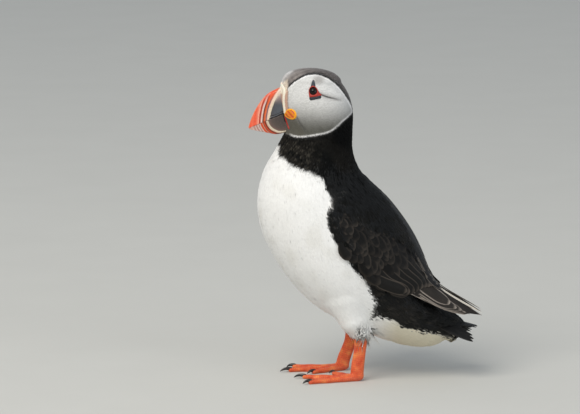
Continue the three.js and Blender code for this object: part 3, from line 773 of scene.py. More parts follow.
# grows locks from roots. depth is how far under the outer form they start, stand how far they end over it,
# tilt how far their normals lean forwards and straight how little they bend with the surface
def growLocks(surface, a, b, length, width, depth, stand, turn, softness, tilt, straight, unwrapAt):
    shares = lock["shares"]
    place, normal, way, _, _ = walk(surface, a, b, turn, length, shares)
    ahead = place[0] + way[0] * (length * np.array(shares)[:, None])[..., None]
    place = place + (ahead - place) * straight[:, None]
    side = np.cross(normal, way)
    count = len(a)
    points = np.zeros((count, 10, 3))
    normals = np.zeros((count, 10, 3))
    along = np.array([0, 0, 0, 0.34, 0.34, 0.34, 0.7, 0.7, 0.7, 1.0])
    for ring, share in enumerate(shares):
        up = (1 - (1 - share / 0.78) ** 2) if share < 0.78 else 1 - ((share - 0.78) / 0.5) ** 2
        height = -depth * (1 - up) * 1.08 + stand * up
        middle = place[ring] + normal[ring] * height[:, None]
        if ring == 3:
            points[:, 9] = middle
            normals[:, 9] = unit(normal[ring] + way[ring] * tilt[:, None])
            continue
        half = (width * lock["widths"][ring] / 2)[:, None]
        tall = half * 2 * lock["thick"]
        for corner, (out, over) in enumerate(((-1, 0), (1, 0), (0, 1))):
            points[:, ring * 3 + corner] = middle + side[ring] * half * out + normal[ring] * tall * over
            leaning = side[ring] * out * (1 - softness)[:, None] + way[ring] * tilt[:, None]
            normals[:, ring * 3 + corner] = unit(normal[ring] * softness[:, None] + leaning)
    fan = np.tile([-0.5, 0.5, 0.0], 4)[:10]
    unwrap = unwrapAt[:, None] + 0.003 * np.stack([fan, along - 0.5], -1)[None]
    return {"points": points, "normals": normals, "along": np.tile(along, (count, 1)), "unwrap": unwrap,
            "places": np.moveaxis(place, 0, 1), "turns": np.repeat(np.arange(4), (3, 3, 3, 1))}


# joins the chosen locks into pieces under the triangle limit
def coatPieces(name, locks, chosen, colours, chance, material):
    limit = 12000
    chosen = np.flatnonzero(chosen)
    parts = math.ceil(len(chosen) / limit)
    for part, group in enumerate(np.array_split(chosen, parts) if parts else ()):
        points = locks["points"][group].reshape(-1, 3)
        faces = [copiedFaces(faces, len(group), 10) for faces in lockFaces]
        marks = {"plumage": colours[group][:, locks["turns"]].reshape(-1, 3),
                 "alongLock": locks["along"][group].ravel(),
                 "chance": np.repeat(chance[group], 10)}
        makePiece(f"{name}_{part + 1}", points, faces, material, (), marks,
                  locks["unwrap"][group].reshape(-1, 2), locks["normals"][group].reshape(-1, 3))


# contour feathers: keratin barbs, soft and matt, with painted shade darker towards each lock's root,
# where other locks lie over it, and a tone that follows each lock's chance
def coatMaterial(name, look):
    material, tree, shader = newMaterial(name, {
        "Roughness": look["roughness"], "Specular IOR Level": look["specular"],
        "Sheen Weight": look["sheen"], "Sheen Roughness": 0.5})
    mark = addNode(tree, "Attribute", {"attribute_name": "plumage"})
    along = addNode(tree, "Attribute", {"attribute_name": "alongLock"})
    chance = addNode(tree, "Attribute", {"attribute_name": "chance"})
    # painted shade: darker towards the lock's root
    depth = addNode(tree, "MapRange", {1: 0.1, 2: 0.9, 3: look["rootShade"], 4: 1.0},
                    {0: along.outputs["Fac"]})
    vary = addNode(tree, "MapRange", {1: 0.0, 2: 1.0, 3: 1 - look["vary"], 4: 1 + look["vary"]},
                   {0: chance.outputs["Fac"]})
    both = addNode(tree, "Math", {"operation": "MULTIPLY"}, {0: depth.outputs[0], 1: vary.outputs[0]})
    colour = addNode(tree, "Mix", {"data_type": "RGBA", "blend_type": "MULTIPLY", 0: 1.0},
                     {6: mark.outputs["Color"], 7: both.outputs[0]})
    tree.links.new(colour.outputs[2], shader.inputs["Base Color"])
    return material


coatLooks = {
    "face": {"roughness": 0.8, "specular": 0.15, "sheen": 0.05, "rootShade": 0.9, "vary": 0.12},
    "crown": {"roughness": 0.75, "specular": 0.15, "sheen": 0.35, "rootShade": 0.75, "vary": 0.16},
    "black": {"roughness": 0.4, "specular": 0.18, "sheen": 0.0, "rootShade": 0.35, "vary": 0.75},
    "neck": {"roughness": 0.6, "specular": 0.06, "sheen": 0.0, "rootShade": 0.4, "vary": 0.6},
    "white": {"roughness": 0.85, "specular": 0.15, "sheen": 0.0, "rootShade": 0.9, "vary": 0.06},
}
coatMaterials = {
    "face": coatMaterial("short grey face feathering", coatLooks["face"]),
    "crown": coatMaterial("dusky crown feathering", coatLooks["crown"]),
    "black": coatMaterial("satin black contour feathers", coatLooks["black"]),
    "neck": coatMaterial("velvet black neck feathers", coatLooks["neck"]),
    "white": coatMaterial("soft white contour feathers", coatLooks["white"]),
}


# grows the coat on one surface and shares it out by colour
def growCoat(name, surface, a, b, s, v, seed):
    random = np.random.default_rng(seed)
    point = readSurface(surface, a, b)[0]
    x, z = point[:, 0], point[:, 2]
    size = reading(np.array(body["sections"])[:, 9:10], sectionShare(s))[:, 0]
    onFace = (insideFace(point) > -0.2) & (z > 183)
    crown = (z > 207) & (x < -9) & ~onFace
    mantle = rise(-2, 10, insideOf(x, z, outlines["scapular"]) * (z < 158))
    step = mantle * rise(16, 3, insideOf(x, z, outlines["scapular"]))
    onThigh = np.minimum(toThigh(point, thighs["left"]), toThigh(point, thighs["right"]))
    upright = rise(-0.85, -0.4, readSurface(surface, a, b)[3][:, 2])
    thighEnd = rise(47, 38, z) * rise(2.5, 0.8, np.abs(onThigh)) * upright
    tipward, featherChance, featherTurn = featherTiles(s, v)
    length = np.where(onFace, 2.8, size * (1 + 0.7 * mantle)) * random.uniform(0.8, 1.2, len(a))
    length = length * (1 + 0.4 * thighEnd - 0.5 * rise(46, 38, z) * (1 - upright) * (x < 12))
    width = np.where(onFace, 0.85, (0.36 + size * 0.14) * (1 - 0.68 * thighEnd)) * random.uniform(0.8, 1.25, len(a))
    depth = coatDepth(s, point)
    stand = np.where(onFace, 0.03, 0.04 + depth * 0.05) * random.normal(1, 0.7, len(a)) + 0.7 * step
    pale = rise(0.1, 0.3, markings(point) @ np.array([0.3, 0.5, 0.2]))
    stand = stand + np.where(onFace, 0.0, tipward * (0.1 + 0.22 * depth)) * (1 - 0.5 * pale)
    turn = random.normal(0, 0.09 + 0.2 * thighEnd, len(a)) + np.where(onFace, 0.0, 0.3) * (featherTurn - 0.5)
    softness = lock["soft"]["dark"] + (lock["soft"]["light"] - lock["soft"]["dark"]) * pale
    tilt = (0.5 * tipward + 0.3 * (featherChance - 0.5)) * (1 - 0.8 * pale) * ~onFace
    locks = growLocks(surface, a, b, length, width, depth, stand, turn, softness, tilt, 0.75 * thighEnd,
                      unwrapPlace(s, v))
    # painted shade: each lock darkens towards its feather's base, under the tip of the feather in front, plus chance
    chance = 0.5 + 0.45 * tipward + 0.3 * (featherChance - 0.5) + random.normal(0, 0.14, len(a))
    chance = np.clip(np.where(onFace, random.uniform(0, 1, len(a)), chance), 0, 1)
    ragged = random.normal(0, 1, len(a)) * (0.35 + 0.4 * rise(120, 60, z))
    colours = markings(locks["places"], ragged[:, None])
    bright = colours[:, 2] @ np.array([0.3, 0.5, 0.2])
    white = (bright > 0.3) & ~onFace & ~crown
    dark = ~onFace & ~crown & ~white
    neck = dark & (z + random.normal(0, 5, len(a)) > 163)
    groups = {"face": (onFace, "plumage_face"), "crown": (crown, "plumage_black"), "neck": (neck, "plumage_black"),
              "black": (dark & ~neck, "plumage_black"), "white": (white, "plumage_white")}
    for kind, (chosen, slot) in groups.items():
        coatPieces(f"{name}_{kind}", locks, chosen, colours, chance, coatMaterials[kind])


def growHeadCoat():
    points = headSurface["points"]
    steps = np.linspace(0, 1, headChart["size"])
    s, _, _ = headPlaces(*np.meshgrid(steps, steps, indexing="ij"))
    face = rise(-2, 0, insideFace(points)) * (points[..., 2] > 182)
    underBill = (points[..., 0] < -57.5) & (points[..., 2] > 186) & (points[..., 2] < 221)
    weight = (1.5 + face * 1.3) * np.where(underBill & (np.abs(points[..., 1]) < 6), 0.0, 1.0) * (s < 0.31)
    a, b = scatter(headSurface, weight, headChart["roots"])
    s, v, _ = headPlaces(a, b)
    growCoat("coat_head", headSurface, a, b, s, v, 21)


def growBodyCoat():
    points = bodySurface["points"]
    s = np.broadcast_to(np.linspace(0, 1, body["rows"])[:, None], points.shape[:2])
    inWing = insideOf(points[..., 0], points[..., 2], outlines["wing"])
    onMantle = insideOf(points[..., 0], points[..., 2], outlines["scapular"]) > -1
    share = (s > 0.27) * rise(1.0, 0.985, s) * np.where((inWing > 7) & ~onMantle, 0.0, 1.0)
    finer = 1.5 - 0.6 * rise(0.3, 0.7, s)
    a, v = scatter(bodySurface, share * finer, body["roots"])
    growCoat("coat_body", bodySurface, a, v, 0.0006 + a * 0.9988, v, 33)


growHeadCoat()
growBodyCoat()
print("coat grown")

# The wing's surface runs from its upper edge on the back to its front and lower edge. The arm lies on the
# filled-out body, and behind it the folded flight feathers make one curved blade.
wing = {
    "upper": [(-4.5, 156), (1.5, 149.5), (9, 138.5), (17, 127), (24, 115.5), (31, 103.5), (38, 92), (45, 80.5)],
    "front": [(-27.6, 140), (-30.4, 131.5), (-28.6, 119), (-22.2, 106.5), (-9.5, 90.2), (3.5, 79.3),
              (18.5, 73.8), (33.5, 68.4)],
    "bladeUpper": [(44.8, -4.2, 83.2), (50.6, -4.6, 74.6), (59.2, -5.6, 67.6), (68.8, -6.8, 61.4),
                   (77.6, -7.2, 56), (85.4, -7, 50.8), (88, -7.4, 48.6)],
    "bladeRidge": [(42.6, -17, 76), (49.2, -16.5, 69.4), (58.6, -15.8, 62), (68.6, -14.6, 56.6),
                   (77.6, -12.4, 52.4), (85.4, -9.4, 49.4), (88, -8, 48)],
    "bladeLower": [(34.5, -26.4, 67), (43.5, -26.4, 62.8), (55, -23.6, 57.2), (66.2, -20, 53.8),
                   (76.4, -15, 50.8), (84.8, -10.4, 48.2), (87.8, -8.4, 47.6)],
    "armShare": 0.62,
}


# Ribs of the arm run between the two edges in s and v. Ribs of the blade are arcs over its ridge.
def makeWingSurface():
    t = np.linspace(0, 1, 22)
    across = np.linspace(0, 1, 41)
    upper, front = reading(wing["upper"], t), reading(wing["front"], t)
    sUpper, _ = fromSide(upper[:, 0], upper[:, 1], 1.0)
    sFront, vFront = fromSide(front[:, 0], front[:, 1], 1.0)
    s = sUpper[:, None] + (sFront - sUpper)[:, None] * across
    v = 0.5 + (vFront - 0.5)[:, None] * across ** 0.9
    arm = loftPoint(s, v, 1.0)
    u = np.linspace(0.02, 1, 16)
    one, two, three = [reading(wing[rail], u)[:, None] for rail in ("bladeUpper", "bladeRidge", "bladeLower")]
    pull = two * 2 - (one + three) / 2
    c = across[None, :, None]
    blade = one * (1 - c) ** 2 + pull * 2 * c * (1 - c) + three * c ** 2
    ribs = np.concatenate([arm, blade])
    middle = ribs[:, 20]
    run = np.concatenate([[0], np.cumsum(np.linalg.norm(np.diff(middle, axis=0), axis=-1))])
    wing["run"] = run[-1]
    wing["armShare"] = run[21] / run[-1]
    fine = np.interp(np.linspace(0, 1, 241) * run[-1], run, np.linspace(0, 1, len(ribs)))
    smooth = reading(ribs, fine)
    for _ in range(14):
        smooth[1:-1] = smooth[1:-1] * 0.5 + (smooth[:-2] + smooth[2:]) * 0.25
    surface = surfaceOf(smooth, False, outwards=-1)
    x = smooth[..., 0]
    fall = np.radians(60 - 20 * rise(5, 45, x))
    ways = np.stack([np.cos(fall), np.zeros_like(fall), -np.sin(fall)], -1)
    onBlade = rise(wing["armShare"] - 0.22, wing["armShare"] + 0.02, np.linspace(0, 1, 241))[:, None]
    nearEdge = np.maximum(rise(0.84, 0.99, across), rise(0.12, 0.0, across))[None]
    share = np.maximum(onBlade, nearEdge)[..., None]
    return setLie(surface, ways * (1 - share) + unit(surface["slopeA"]) * share)


wingSurface = makeWingSurface()

# Width grows from the quill over the first part, then rounds off to the tip over the last.
def vaneHalf(t, look):
    growth = look.get("quill", 0.45) + (1 - look.get("quill", 0.45)) * rise(0, 0.4, t)
    start = look.get("roundFrom", 0.66)
    fall = np.clip((t - start) / (1 - start), 0, 1)
    return growth * (1 - fall ** look.get("point", 2.2)) ** 0.5


# the length of a surface across it at each a, mm
def surfaceAcross(surface):
    return np.linalg.norm(np.diff(surface["points"], axis=1), axis=-1).sum(1)


# Lays a vane over the surface from each root. Its columns run along the surface beside the shaft.
def layVanes(surface, a, b, length, width, look, seed):
    random = np.random.default_rng(seed)
    rows, columns = look["rows"], look["columns"]
    shares = np.sin(np.linspace(0, np.pi / 2, rows)) ** 0.85
    shares[0] = 0
    turn = random.normal(0, look.get("scatter", 0.06), len(a)) + look.get("turn", 0.0)
    place, normal, way, atA, atB = walk(surface, a, b, turn, length, shares)
    side = np.cross(normal, way)
    high = look["rootHeight"] + (look["tipHeight"] - look["rootHeight"]) * shares ** look.get("ramp", 0.8)
    high = high[:, None] + random.normal(0, look.get("uneven", 0.12), len(a))[None] * shares[:, None]
    half = vaneHalf(shares, look)[:, None] * width[None] / 2
    if "fit" in look:
        across = surfaceAcross(surface)
        local = np.interp(atA, np.linspace(0, 1, len(across)), across) * np.minimum(atB, 1 - atB)
        half = np.minimum(half, local * look["fit"] * vaneHalf(shares, look)[:, None])
    offset = np.linspace(-1, 1, columns)
    points = np.zeros((len(a), rows, columns, 3))
    normals = np.zeros_like(points)
    for column, y in enumerate(offset):
        move = side * (half * y)[..., None]
        read = readSurface(surface, atA, atB)
        changeA, changeB = stepOver(read[1], read[2], move)
        spotA, spotB = atA + changeA, atB + changeB
        inside = (spotA >= 0) & (spotA <= 1) & (spotB >= 0) & (spotB <= 1)
        over, _, _, normalThere, _ = readSurface(surface, spotA, spotB)
        over = over + (place - read[0])
        over = np.where(inside[..., None], over, place + move)
        normalThere = np.where(inside[..., None], normalThere, normal)
        raised = high + look.get("tile", 0.0) * y - look.get("camber", 0.25) * y * y
        raised = raised + look.get("shaft", 0.06) * math.exp(-(y / 0.14) ** 2) * width[None] / 10
        points[:, :, column] = np.moveaxis(over + normalThere * raised[..., None], 0, 1)
        tilted = normalThere + side * (0.18 * y)
        normals[:, :, column] = np.moveaxis(unit(tilted), 0, 1)
    return {"points": points, "normals": normals, "shares": shares, "offset": offset,
            "length": length, "width": width, "half": half.T, "seed": seed}


# Closes vanes into thin lenses and makes one piece of them. Each has its own cell of the unwrap.
def vanePiece(name, groups, material, stands=(), mirrored=False, thick=0.16):
    points, normals, marks, unwraps, faces = [], [], {}, [], []
    total = sum(len(vanes["points"]) for vanes in groups)
    grid = math.ceil(math.sqrt(total))
    cell, base = 0, 0
    for vanes in groups:
        top = vanes["points"]
        count, rows, columns = top.shape[:3]
        y = vanes["offset"][None, None, :, None]
        edge = np.ones((rows, columns), bool)
        edge[1:-1, 1:-1] = False
        across = np.cross(np.gradient(top, axis=1), np.gradient(top, axis=2))
        facing = unit(across)
        facing = facing * np.where(dot(facing, vanes["normals"]) < 0, -1, 1)
        under = (top - facing * thick * (1 - 0.6 * y * y))[:, ~edge]
        each = rows * columns + under.shape[1]
        index = np.arange(rows * columns).reshape(rows, columns)
        below = index.copy()
        below[~edge] = rows * columns + np.arange(under.shape[1])
        sheet = np.stack([index[:-1, :-1], index[1:, :-1], index[1:, 1:], index[:-1, 1:]], -1).reshape(-1, 4)
        back = np.stack([below[:-1, :-1], below[:-1, 1:], below[1:, 1:], below[1:, :-1]], -1).reshape(-1, 4)
        faces.append(copiedFaces(np.concatenate([sheet, back]), count, each) + base)
        base += count * each
        points.append(np.concatenate([top.reshape(count, -1, 3), under], 1).reshape(-1, 3))
        upper = vanes["normals"].reshape(count, -1, 3)
        normals.append(np.concatenate([upper, -vanes["normals"][:, ~edge]], 1).reshape(-1, 3))
        t = np.broadcast_to(vanes["shares"][None, :, None], (count, rows, columns))
        along = t * vanes["length"][:, None, None]
        reach = np.broadcast_to(vanes["offset"][None, None], (count, rows, columns))
        beside = reach * vanes["half"][:, :, None]
        chance = np.random.default_rng(vanes["seed"] + 5).uniform(0, 1, count)
        spread = {"acrossVane": reach, "shareVane": t, "alongVane": along, "besideVane": beside,
                  "chance": np.broadcast_to(chance[:, None, None], t.shape)}
        for mark, values in spread.items():
            both = np.concatenate([values.reshape(count, -1), values[:, ~edge]], 1).ravel()
            marks.setdefault(mark, []).append(both)
        number = cell + np.arange(count)[:, None, None]
        u = (number % grid + 0.5 + 0.44 * reach) / grid
        w = (number // grid + 0.05 + 0.9 * t) / grid
        pair = np.stack([u, w], -1)
        unwraps.append(np.concatenate([pair.reshape(count, -1, 2), pair[:, ~edge]], 1).reshape(-1, 2))
        cell += count
    points, normals, faces = np.concatenate(points), np.concatenate(normals), np.concatenate(faces)
    if mirrored:
        points, normals = points * (1, -1, 1), normals * (1, -1, 1)
        faces = faces[:, ::-1]
    marks = {mark: np.concatenate(values) for mark, values in marks.items()}
    makePiece(name, points, [faces], material, stands, marks, np.concatenate(unwraps), normals)


# vane feathers: flat keratin barbs either side of a shaft. Barbs stand about 0.3 mm apart and are drawn
# 0.9 mm apart to show. The fringe wears paler and browner than the blade.
def vaneMaterial(name, look):
    material, tree, shader = newMaterial(name, {
        "Roughness": look["roughness"], "Specular IOR Level": look["specular"],
        "Sheen Weight": look["sheen"], "Sheen Roughness": 0.45})

    across, share, along, beside, chance = [
        addNode(tree, "Attribute", {"attribute_name": mark}).outputs["Fac"]
        for mark in ("acrossVane", "shareVane", "alongVane", "besideVane", "chance")]
    aside = addNode(tree, "Math", {"operation": "ABSOLUTE"}, {0: beside}).outputs[0]
    slant = addNode(tree, "Math", {"operation": "MULTIPLY_ADD", 1: -1.1}, {0: aside, 2: along}).outputs[0]
    shifted = addNode(tree, "Math", {"operation": "MULTIPLY_ADD", 1: 37.0}, {0: chance, 2: slant}).outputs[0]
    turns = addNode(tree, "Math", {"operation": "MULTIPLY", 1: 2 * math.pi / 0.9}, {0: shifted}).outputs[0]
    barbs = addNode(tree, "Math", {"operation": "SINE"}, {0: turns}).outputs[0]
    outwards = addNode(tree, "Math", {"operation": "ABSOLUTE"}, {0: across}).outputs[0]
    sideFringe = addNode(tree, "MapRange", {"interpolation_type": "SMOOTHSTEP", 1: look["sideFringe"], 2: 1.0},
                         {0: outwards})
    tipFringe = addNode(tree, "MapRange", {"interpolation_type": "SMOOTHSTEP", 1: look["tipFringe"], 2: 1.0},
                        {0: share})
    fringe = addNode(tree, "Math", {"operation": "MAXIMUM"},
                     {0: sideFringe.outputs[0], 1: tipFringe.outputs[0]}).outputs[0]
    place = addNode(tree, "TexCoord")
    patches = addNode(tree, "TexNoise", {"Scale": 1 / (9 * mm), "Detail": 4}, {"Vector": place.outputs["Object"]})
    base = addNode(tree, "Mix", {"data_type": "RGBA", 6: look["dark"], 7: look["light"]},
                   {0: patches.outputs["Fac"]})
    worn = addNode(tree, "Mix", {"data_type": "RGBA", 7: look["fringe"]}, {0: fringe, 6: base.outputs[2]})
    vary = addNode(tree, "MapRange", {3: 1 - look["vary"], 4: 1 + look["vary"]}, {0: chance})
    grain = addNode(tree, "MapRange", {1: -1.0, 2: 1.0, 3: 0.84, 4: 1.12}, {0: barbs})
    shade = addNode(tree, "Math", {"operation": "MULTIPLY"}, {0: vary.outputs[0], 1: grain.outputs[0]})
    colour = addNode(tree, "Mix", {"data_type": "RGBA", "blend_type": "MULTIPLY", 0: 1.0},
                     {6: worn.outputs[2], 7: shade.outputs[0]})
    tree.links.new(colour.outputs[2], shader.inputs["Base Color"])
    bump = addNode(tree, "Bump", {"Strength": 0.5, "Distance": 0.1 * mm}, {"Height": barbs})
    tree.links.new(bump.outputs["Normal"], shader.inputs["Normal"])
    return material


vaneLooks = {
    "covert": {"dark": "#070707", "light": "#191715", "fringe": "#302b26", "roughness": 0.45, "specular": 0.15,
               "sheen": 0.0, "sideFringe": 0.5, "tipFringe": 0.72, "vary": 0.55},
    "secondary": {"dark": "#090807", "light": "#191714", "fringe": "#4e463e", "roughness": 0.5, "specular": 0.18,
                  "sheen": 0.0, "sideFringe": 0.8, "tipFringe": 0.9, "vary": 0.3},
    "tertial": {"dark": "#0a0a0a", "light": "#171615", "fringe": "#776f66", "roughness": 0.45, "specular": 0.22,
                "sheen": 0.0, "sideFringe": 0.76, "tipFringe": 0.94, "vary": 0.3},
    "flight": {"dark": "#1d1a17", "light": "#36302b", "fringe": "#a0958a", "roughness": 0.5, "specular": 0.18,
               "sheen": 0.0, "sideFringe": 0.78, "tipFringe": 0.93, "vary": 0.2},
    # painted highlight: a pale cream strip where the upper edge of the folded primaries catches the light
    "edge": {"dark": "#b9ae9f", "light": "#d9d0c2", "fringe": "#e6dfd3", "roughness": 0.55, "specular": 0.3,
             "sheen": 0.0, "sideFringe": 0.7, "tipFringe": 0.9, "vary": 0.05},
    "tail": {"dark": "#070707", "light": "#111110", "fringe": "#37322c", "roughness": 0.42, "specular": 0.22,
             "sheen": 0.0, "sideFringe": 0.86, "tipFringe": 0.96, "vary": 0.4},
}
vaneMaterials = {
    "covert": vaneMaterial("brown black wing coverts", vaneLooks["covert"]),
    "secondary": vaneMaterial("pale tipped secondaries", vaneLooks["secondary"]),
    "tertial": vaneMaterial("pale edged tertials", vaneLooks["tertial"]),
    "flight": vaneMaterial("grey brown flight feathers", vaneLooks["flight"]),
    "edge": vaneMaterial("cream painted highlight on feather edge", vaneLooks["edge"]),
    "tail": vaneMaterial("black tail feathers", vaneLooks["tail"]),
}

covertLook = {"rows": 9, "columns": 7, "rootHeight": -0.7, "tipHeight": 0.1, "camber": 0.08, "tile": 0.14,
              "roundFrom": 0.5, "point": 1.8, "scatter": 0.16, "uneven": 0.08, "shaft": 0.04}
tertialLook = {"rows": 16, "columns": 7, "rootHeight": -0.8, "tipHeight": 1.7, "camber": 0.25, "tile": 0.25,
               "roundFrom": 0.7, "point": 2.0, "scatter": 0.015, "uneven": 0.02, "quill": 0.7, "ramp": 0.35}
flightLook = {"rows": 16, "columns": 7, "rootHeight": -0.8, "tipHeight": -0.05, "camber": 0.08, "tile": 0.16,
              "roundFrom": 0.7, "point": 1.8, "scatter": 0.012, "uneven": 0.02, "quill": 0.7}


# roots in staggered rows down the wing: sizes and spacings grow with the distance from the shoulder
def rowsOfRoots(first, last, lengthAt, widthAt, reach, random):
    a, b, length, width = [], [], [], []
    across = surfaceAcross(wingSurface)
    at, row = first, 0
    while at < last:
        long, wide = lengthAt(at), widthAt(at)
        step = wide * 0.56 / np.interp(at / wing["run"], np.linspace(0, 1, len(across)), across)
        places = np.arange(reach[0] + step * 0.5 * (row % 2), reach[1], step)
        count = len(places)
        a.append((at + random.normal(0, 0.16 * long, count)) / wing["run"])
        b.append(places + random.normal(0, 0.2, count) * step)
        length.append(long * random.uniform(0.85, 1.2, count))
        width.append(wide * random.uniform(0.8, 1.15, count))
        at += long * 0.4
        row += 1
    a, b = np.clip(np.concatenate(a), 0, 1), np.clip(np.concatenate(b), 0.0, 1)
    roots = readSurface(wingSurface, a, b)[0]
    showing = insideOf(roots[:, 0], roots[:, 2], outlines["scapular"]) < 7
    return a[showing], b[showing], np.concatenate(length)[showing], np.concatenate(width)[showing]


# a nest of like feathers: root run, place across, length and width each go from a first to a last value
def nestOf(count, run, across, length, width, look, seed):
    values = [np.linspace(*pair, count) for pair in (run, across, length, width)]
    return layVanes(wingSurface, values[0] / wing["run"], values[1], values[2], values[3], look, seed)


def makeWing(side, seed):
    random = np.random.default_rng(seed)
    mirrored = side == "right"
    arm = wing["armShare"] * wing["run"]
    a, b, length, width = rowsOfRoots(
        -1.0, arm - 12, lambda d: 10 + 11 * rise(5, arm, d), lambda d: 7.5 + 4 * rise(5, arm, d), (0.05, 0.92),
        random)
    coverts = layVanes(wingSurface, a, b, length, width, covertLook, seed + 1)
    vanePiece(f"wing_{side}_coverts", [coverts], vaneMaterials["covert"], (), mirrored)
    secondaries = nestOf(9, (arm - 30, arm - 34), (0.26, 0.9), (38, 34), (11, 9),
                         {**flightLook, "tipHeight": 0.9}, seed + 3)
    vanePiece(f"wing_{side}_secondaries", [secondaries], vaneMaterials["secondary"], (), mirrored)
    tertials = nestOf(9, (arm - 84, arm - 24), (0.05, 0.22), (60, 38), (5, 9), tertialLook, seed + 4)
    vanePiece(f"wing_{side}_tertials", [tertials], vaneMaterials["tertial"], (), mirrored)
    # the longest primary lies underneath and fills the blade, and shorter ones lie on it one after another
    reach = wing["run"] - arm + 14
    nest = {**flightLook, "fit": 1.0, "tile": 0.06}
    across = np.array([0.5, 0.86, 0.8, 0.72, 0.64, 0.56])
    length = reach * np.array([0.995, 0.94, 0.87, 0.79, 0.7, 0.6])
    width = np.array([30, 9, 10, 11, 12, 13.0])
    primaries = layVanes(wingSurface, np.full(6, (arm - 14) / wing["run"]), across, length, width, nest, seed + 6)
    apart = np.linspace(-0.7, 0.5, 6)[:, None] * rise(0.1, 0.45, primaries["shares"])
    primaries["points"] += apart[..., None, None] * primaries["normals"]
    vanePiece(f"wing_{side}_flight", [primaries], vaneMaterials["flight"],
              (f"wing_{side}_primaries",), mirrored, thick=0.3)
    # a pale cream strip along the primaries' upper edge, a painted highlight
    rim = nestOf(1, (arm + 4, arm + 4), (0.12, 0.12), (reach * 0.72, reach * 0.72), (2.0, 2.0),
                 {**nest, "rootHeight": 0.0, "tipHeight": 0.3, "fit": 1.6}, seed + 8)
    vanePiece(f"wing_{side}_edge", [rim], vaneMaterials["edge"], (), mirrored, thick=0.25)


makeWing("left", 101)
makeWing("right", 201)
print("wings feathered")

# A shallow arched fan: half the width grows with the distance, the tips lie on a rounded end.
tail = {"root": 50, "tip": 84.5, "rootHalf": 14, "tipHalf": 23, "rootZ": 48.5, "tipZ": 38.5, "arch": 10.5,
        "rounding": 1, "notch": 0.36, "notchAt": 0.5}


def makeTailSurface():
    u = np.linspace(0, 1, 61)[:, None]
    across = np.linspace(-1, 1, 61)[None]
    half = tail["rootHalf"] + (tail["tipHalf"] - tail["rootHalf"]) * u ** 0.8
    x = tail["root"] + (tail["tip"] - tail["rounding"] * across ** 2 - tail["root"]) * u
    z = tail["rootZ"] + (tail["tipZ"] - tail["rootZ"]) * u - tail["arch"] * (0.3 + 0.7 * u) * across ** 2
    points = np.stack([x, half * across, z * np.ones_like(x)], -1)
    surface = surfaceOf(points, False)
    return setLie(surface, surface["slopeA"])


def makeTail():
    surface = makeTailSurface()
    count = 18
    place = np.linspace(-1, 1, count)
    b = 0.5 + 0.46 * place
    a = np.full(count, 0.02)
    notch = tail["notch"] * np.exp(-((np.abs(place) - tail["notchAt"]) / 0.2) ** 2)
    length = (tail["tip"] - tail["root"] - tail["rounding"] * (2 * b - 1) ** 2) * (1.02 - notch)
    look = {"rows": 14, "columns": 7, "rootHeight": -0.6, "tipHeight": -0.5, "camber": 0.3, "tile": 0.0,
            "roundFrom": 0.45, "point": 1.25, "scatter": 0.0, "uneven": 0.1, "quill": 0.6}
    vanes = layVanes(surface, a, b, length, np.full(count, 7.4), look, 301)
    vanes["points"] += (-1.0 * np.abs(place) + 0.25)[:, None, None, None] * vanes["normals"]
    vanePiece("tail_vanes", [vanes], vaneMaterials["tail"], ("tail",), thick=0.5)


makeTail()
print("tail made")

bill = {
    "culmen": [(-63.6, 219.8), (-73.4, 214.6), (-80.2, 206.7), (-85.2, 197.4), (-88, 189)],
    "mouth": [(-60.6, 200.8), (-74.4, 194.7), (-87.4, 188.9)],
    "gonys": [(-58.8, 186.2), (-66.6, 184.3), (-74, 185.4), (-81.6, 186.8), (-86.8, 188)],
    "gapeHalf": 7.2, "tipHalf": 1.0, "ridgeShare": 0.2, "baseShare": 0.5, "gap": 0.3, "cereShare": 0.05, "cereProud": 0.7,
    "upperCentre": (-32.3, 192.6), "lowerCentre": (-63.6, 196.6),
    "creases": [[(-61.4, 202.8), (-64.5, 200.6), (-67.6, 199.2), (-71.4, 198.2)],
                [(-62.6, 200.6), (-66.5, 198.5), (-72.0, 196.5)],
                [(-63.2, 201.0), (-67.0, 199.1), (-71.8, 197.4)]],
    "upperGrooves": [(39.3, 0.3, -0.12), (40.7, 0.8, 0.28), (42.4, 0.3, -0.18), (44.8, 0.4, -0.36),
                     (45.8, 0.5, 0.1), (47.2, 0.35, -0.34), (49.6, 0.3, -0.12), (52.2, 0.3, -0.08)],
    "lowerGrooves": [(9.8, 0.3, -0.12), (10.6, 0.5, 0.16), (12.2, 0.28, -0.28), (13.2, 0.4, 0.1),
                     (15.0, 0.26, -0.24), (17.0, 0.26, -0.16), (19.0, 0.26, -0.12)],
}


# one half of the bill: share runs from base to tip, h from the mouth line to the culmen or gonys
def billPoint(edge, shift, share, h, side, proud=0.0):
    half = bill["gapeHalf"] + (bill["tipHalf"] - bill["gapeHalf"]) * np.clip(share, 0, 1) ** 0.85 + proud
    low, high = reading(bill["mouth"], share), reading(edge, share)
    back = np.minimum(share, 0)[..., None] * np.array([-30.0, 6.0])
    low, high = low + back, high + back
    high = high + unit(high - low) * np.asarray(proud)[..., None]
    ridge = bill["ridgeShare"] + (bill["baseShare"] - bill["ridgeShare"]) * rise(0.5, 0.0, share)
    width = half * (ridge + (1 - ridge) * (1 - h) ** 0.9)
    width = width * np.sqrt(np.clip(1 - (np.maximum(h - 0.9, 0) / 0.1) ** 2, 0, 1))
    flat = low + (high - low) * h[..., None]
    return np.stack([flat[..., 0], side * width, flat[..., 1] + shift], -1)


# creases above the mouth line: -1 in a dark crease, 1 on the pale fold between two of them
def mouthCreases(points):
    x, z = points[..., 0], points[..., 2]
    upper, _ = toLine(x, z, bill["creases"][0])
    lower, _ = toLine(x, z, bill["creases"][1])
    between, _ = toLine(x, z, bill["creases"][2])
    return np.exp(-(between / 0.34) ** 2) - np.exp(-(upper / 0.45) ** 2) - np.exp(-(lower / 0.4) ** 2)


# grooves and ridges as rings round a centre: each a distance, a breadth and a height, mm
def ringRelief(points, centre, rings):
    away = np.hypot(points[..., 0] - centre[0], points[..., 2] - centre[1])
    return sum(height * np.exp(-((away - at) / breadth) ** 2) for at, breadth, height in rings)


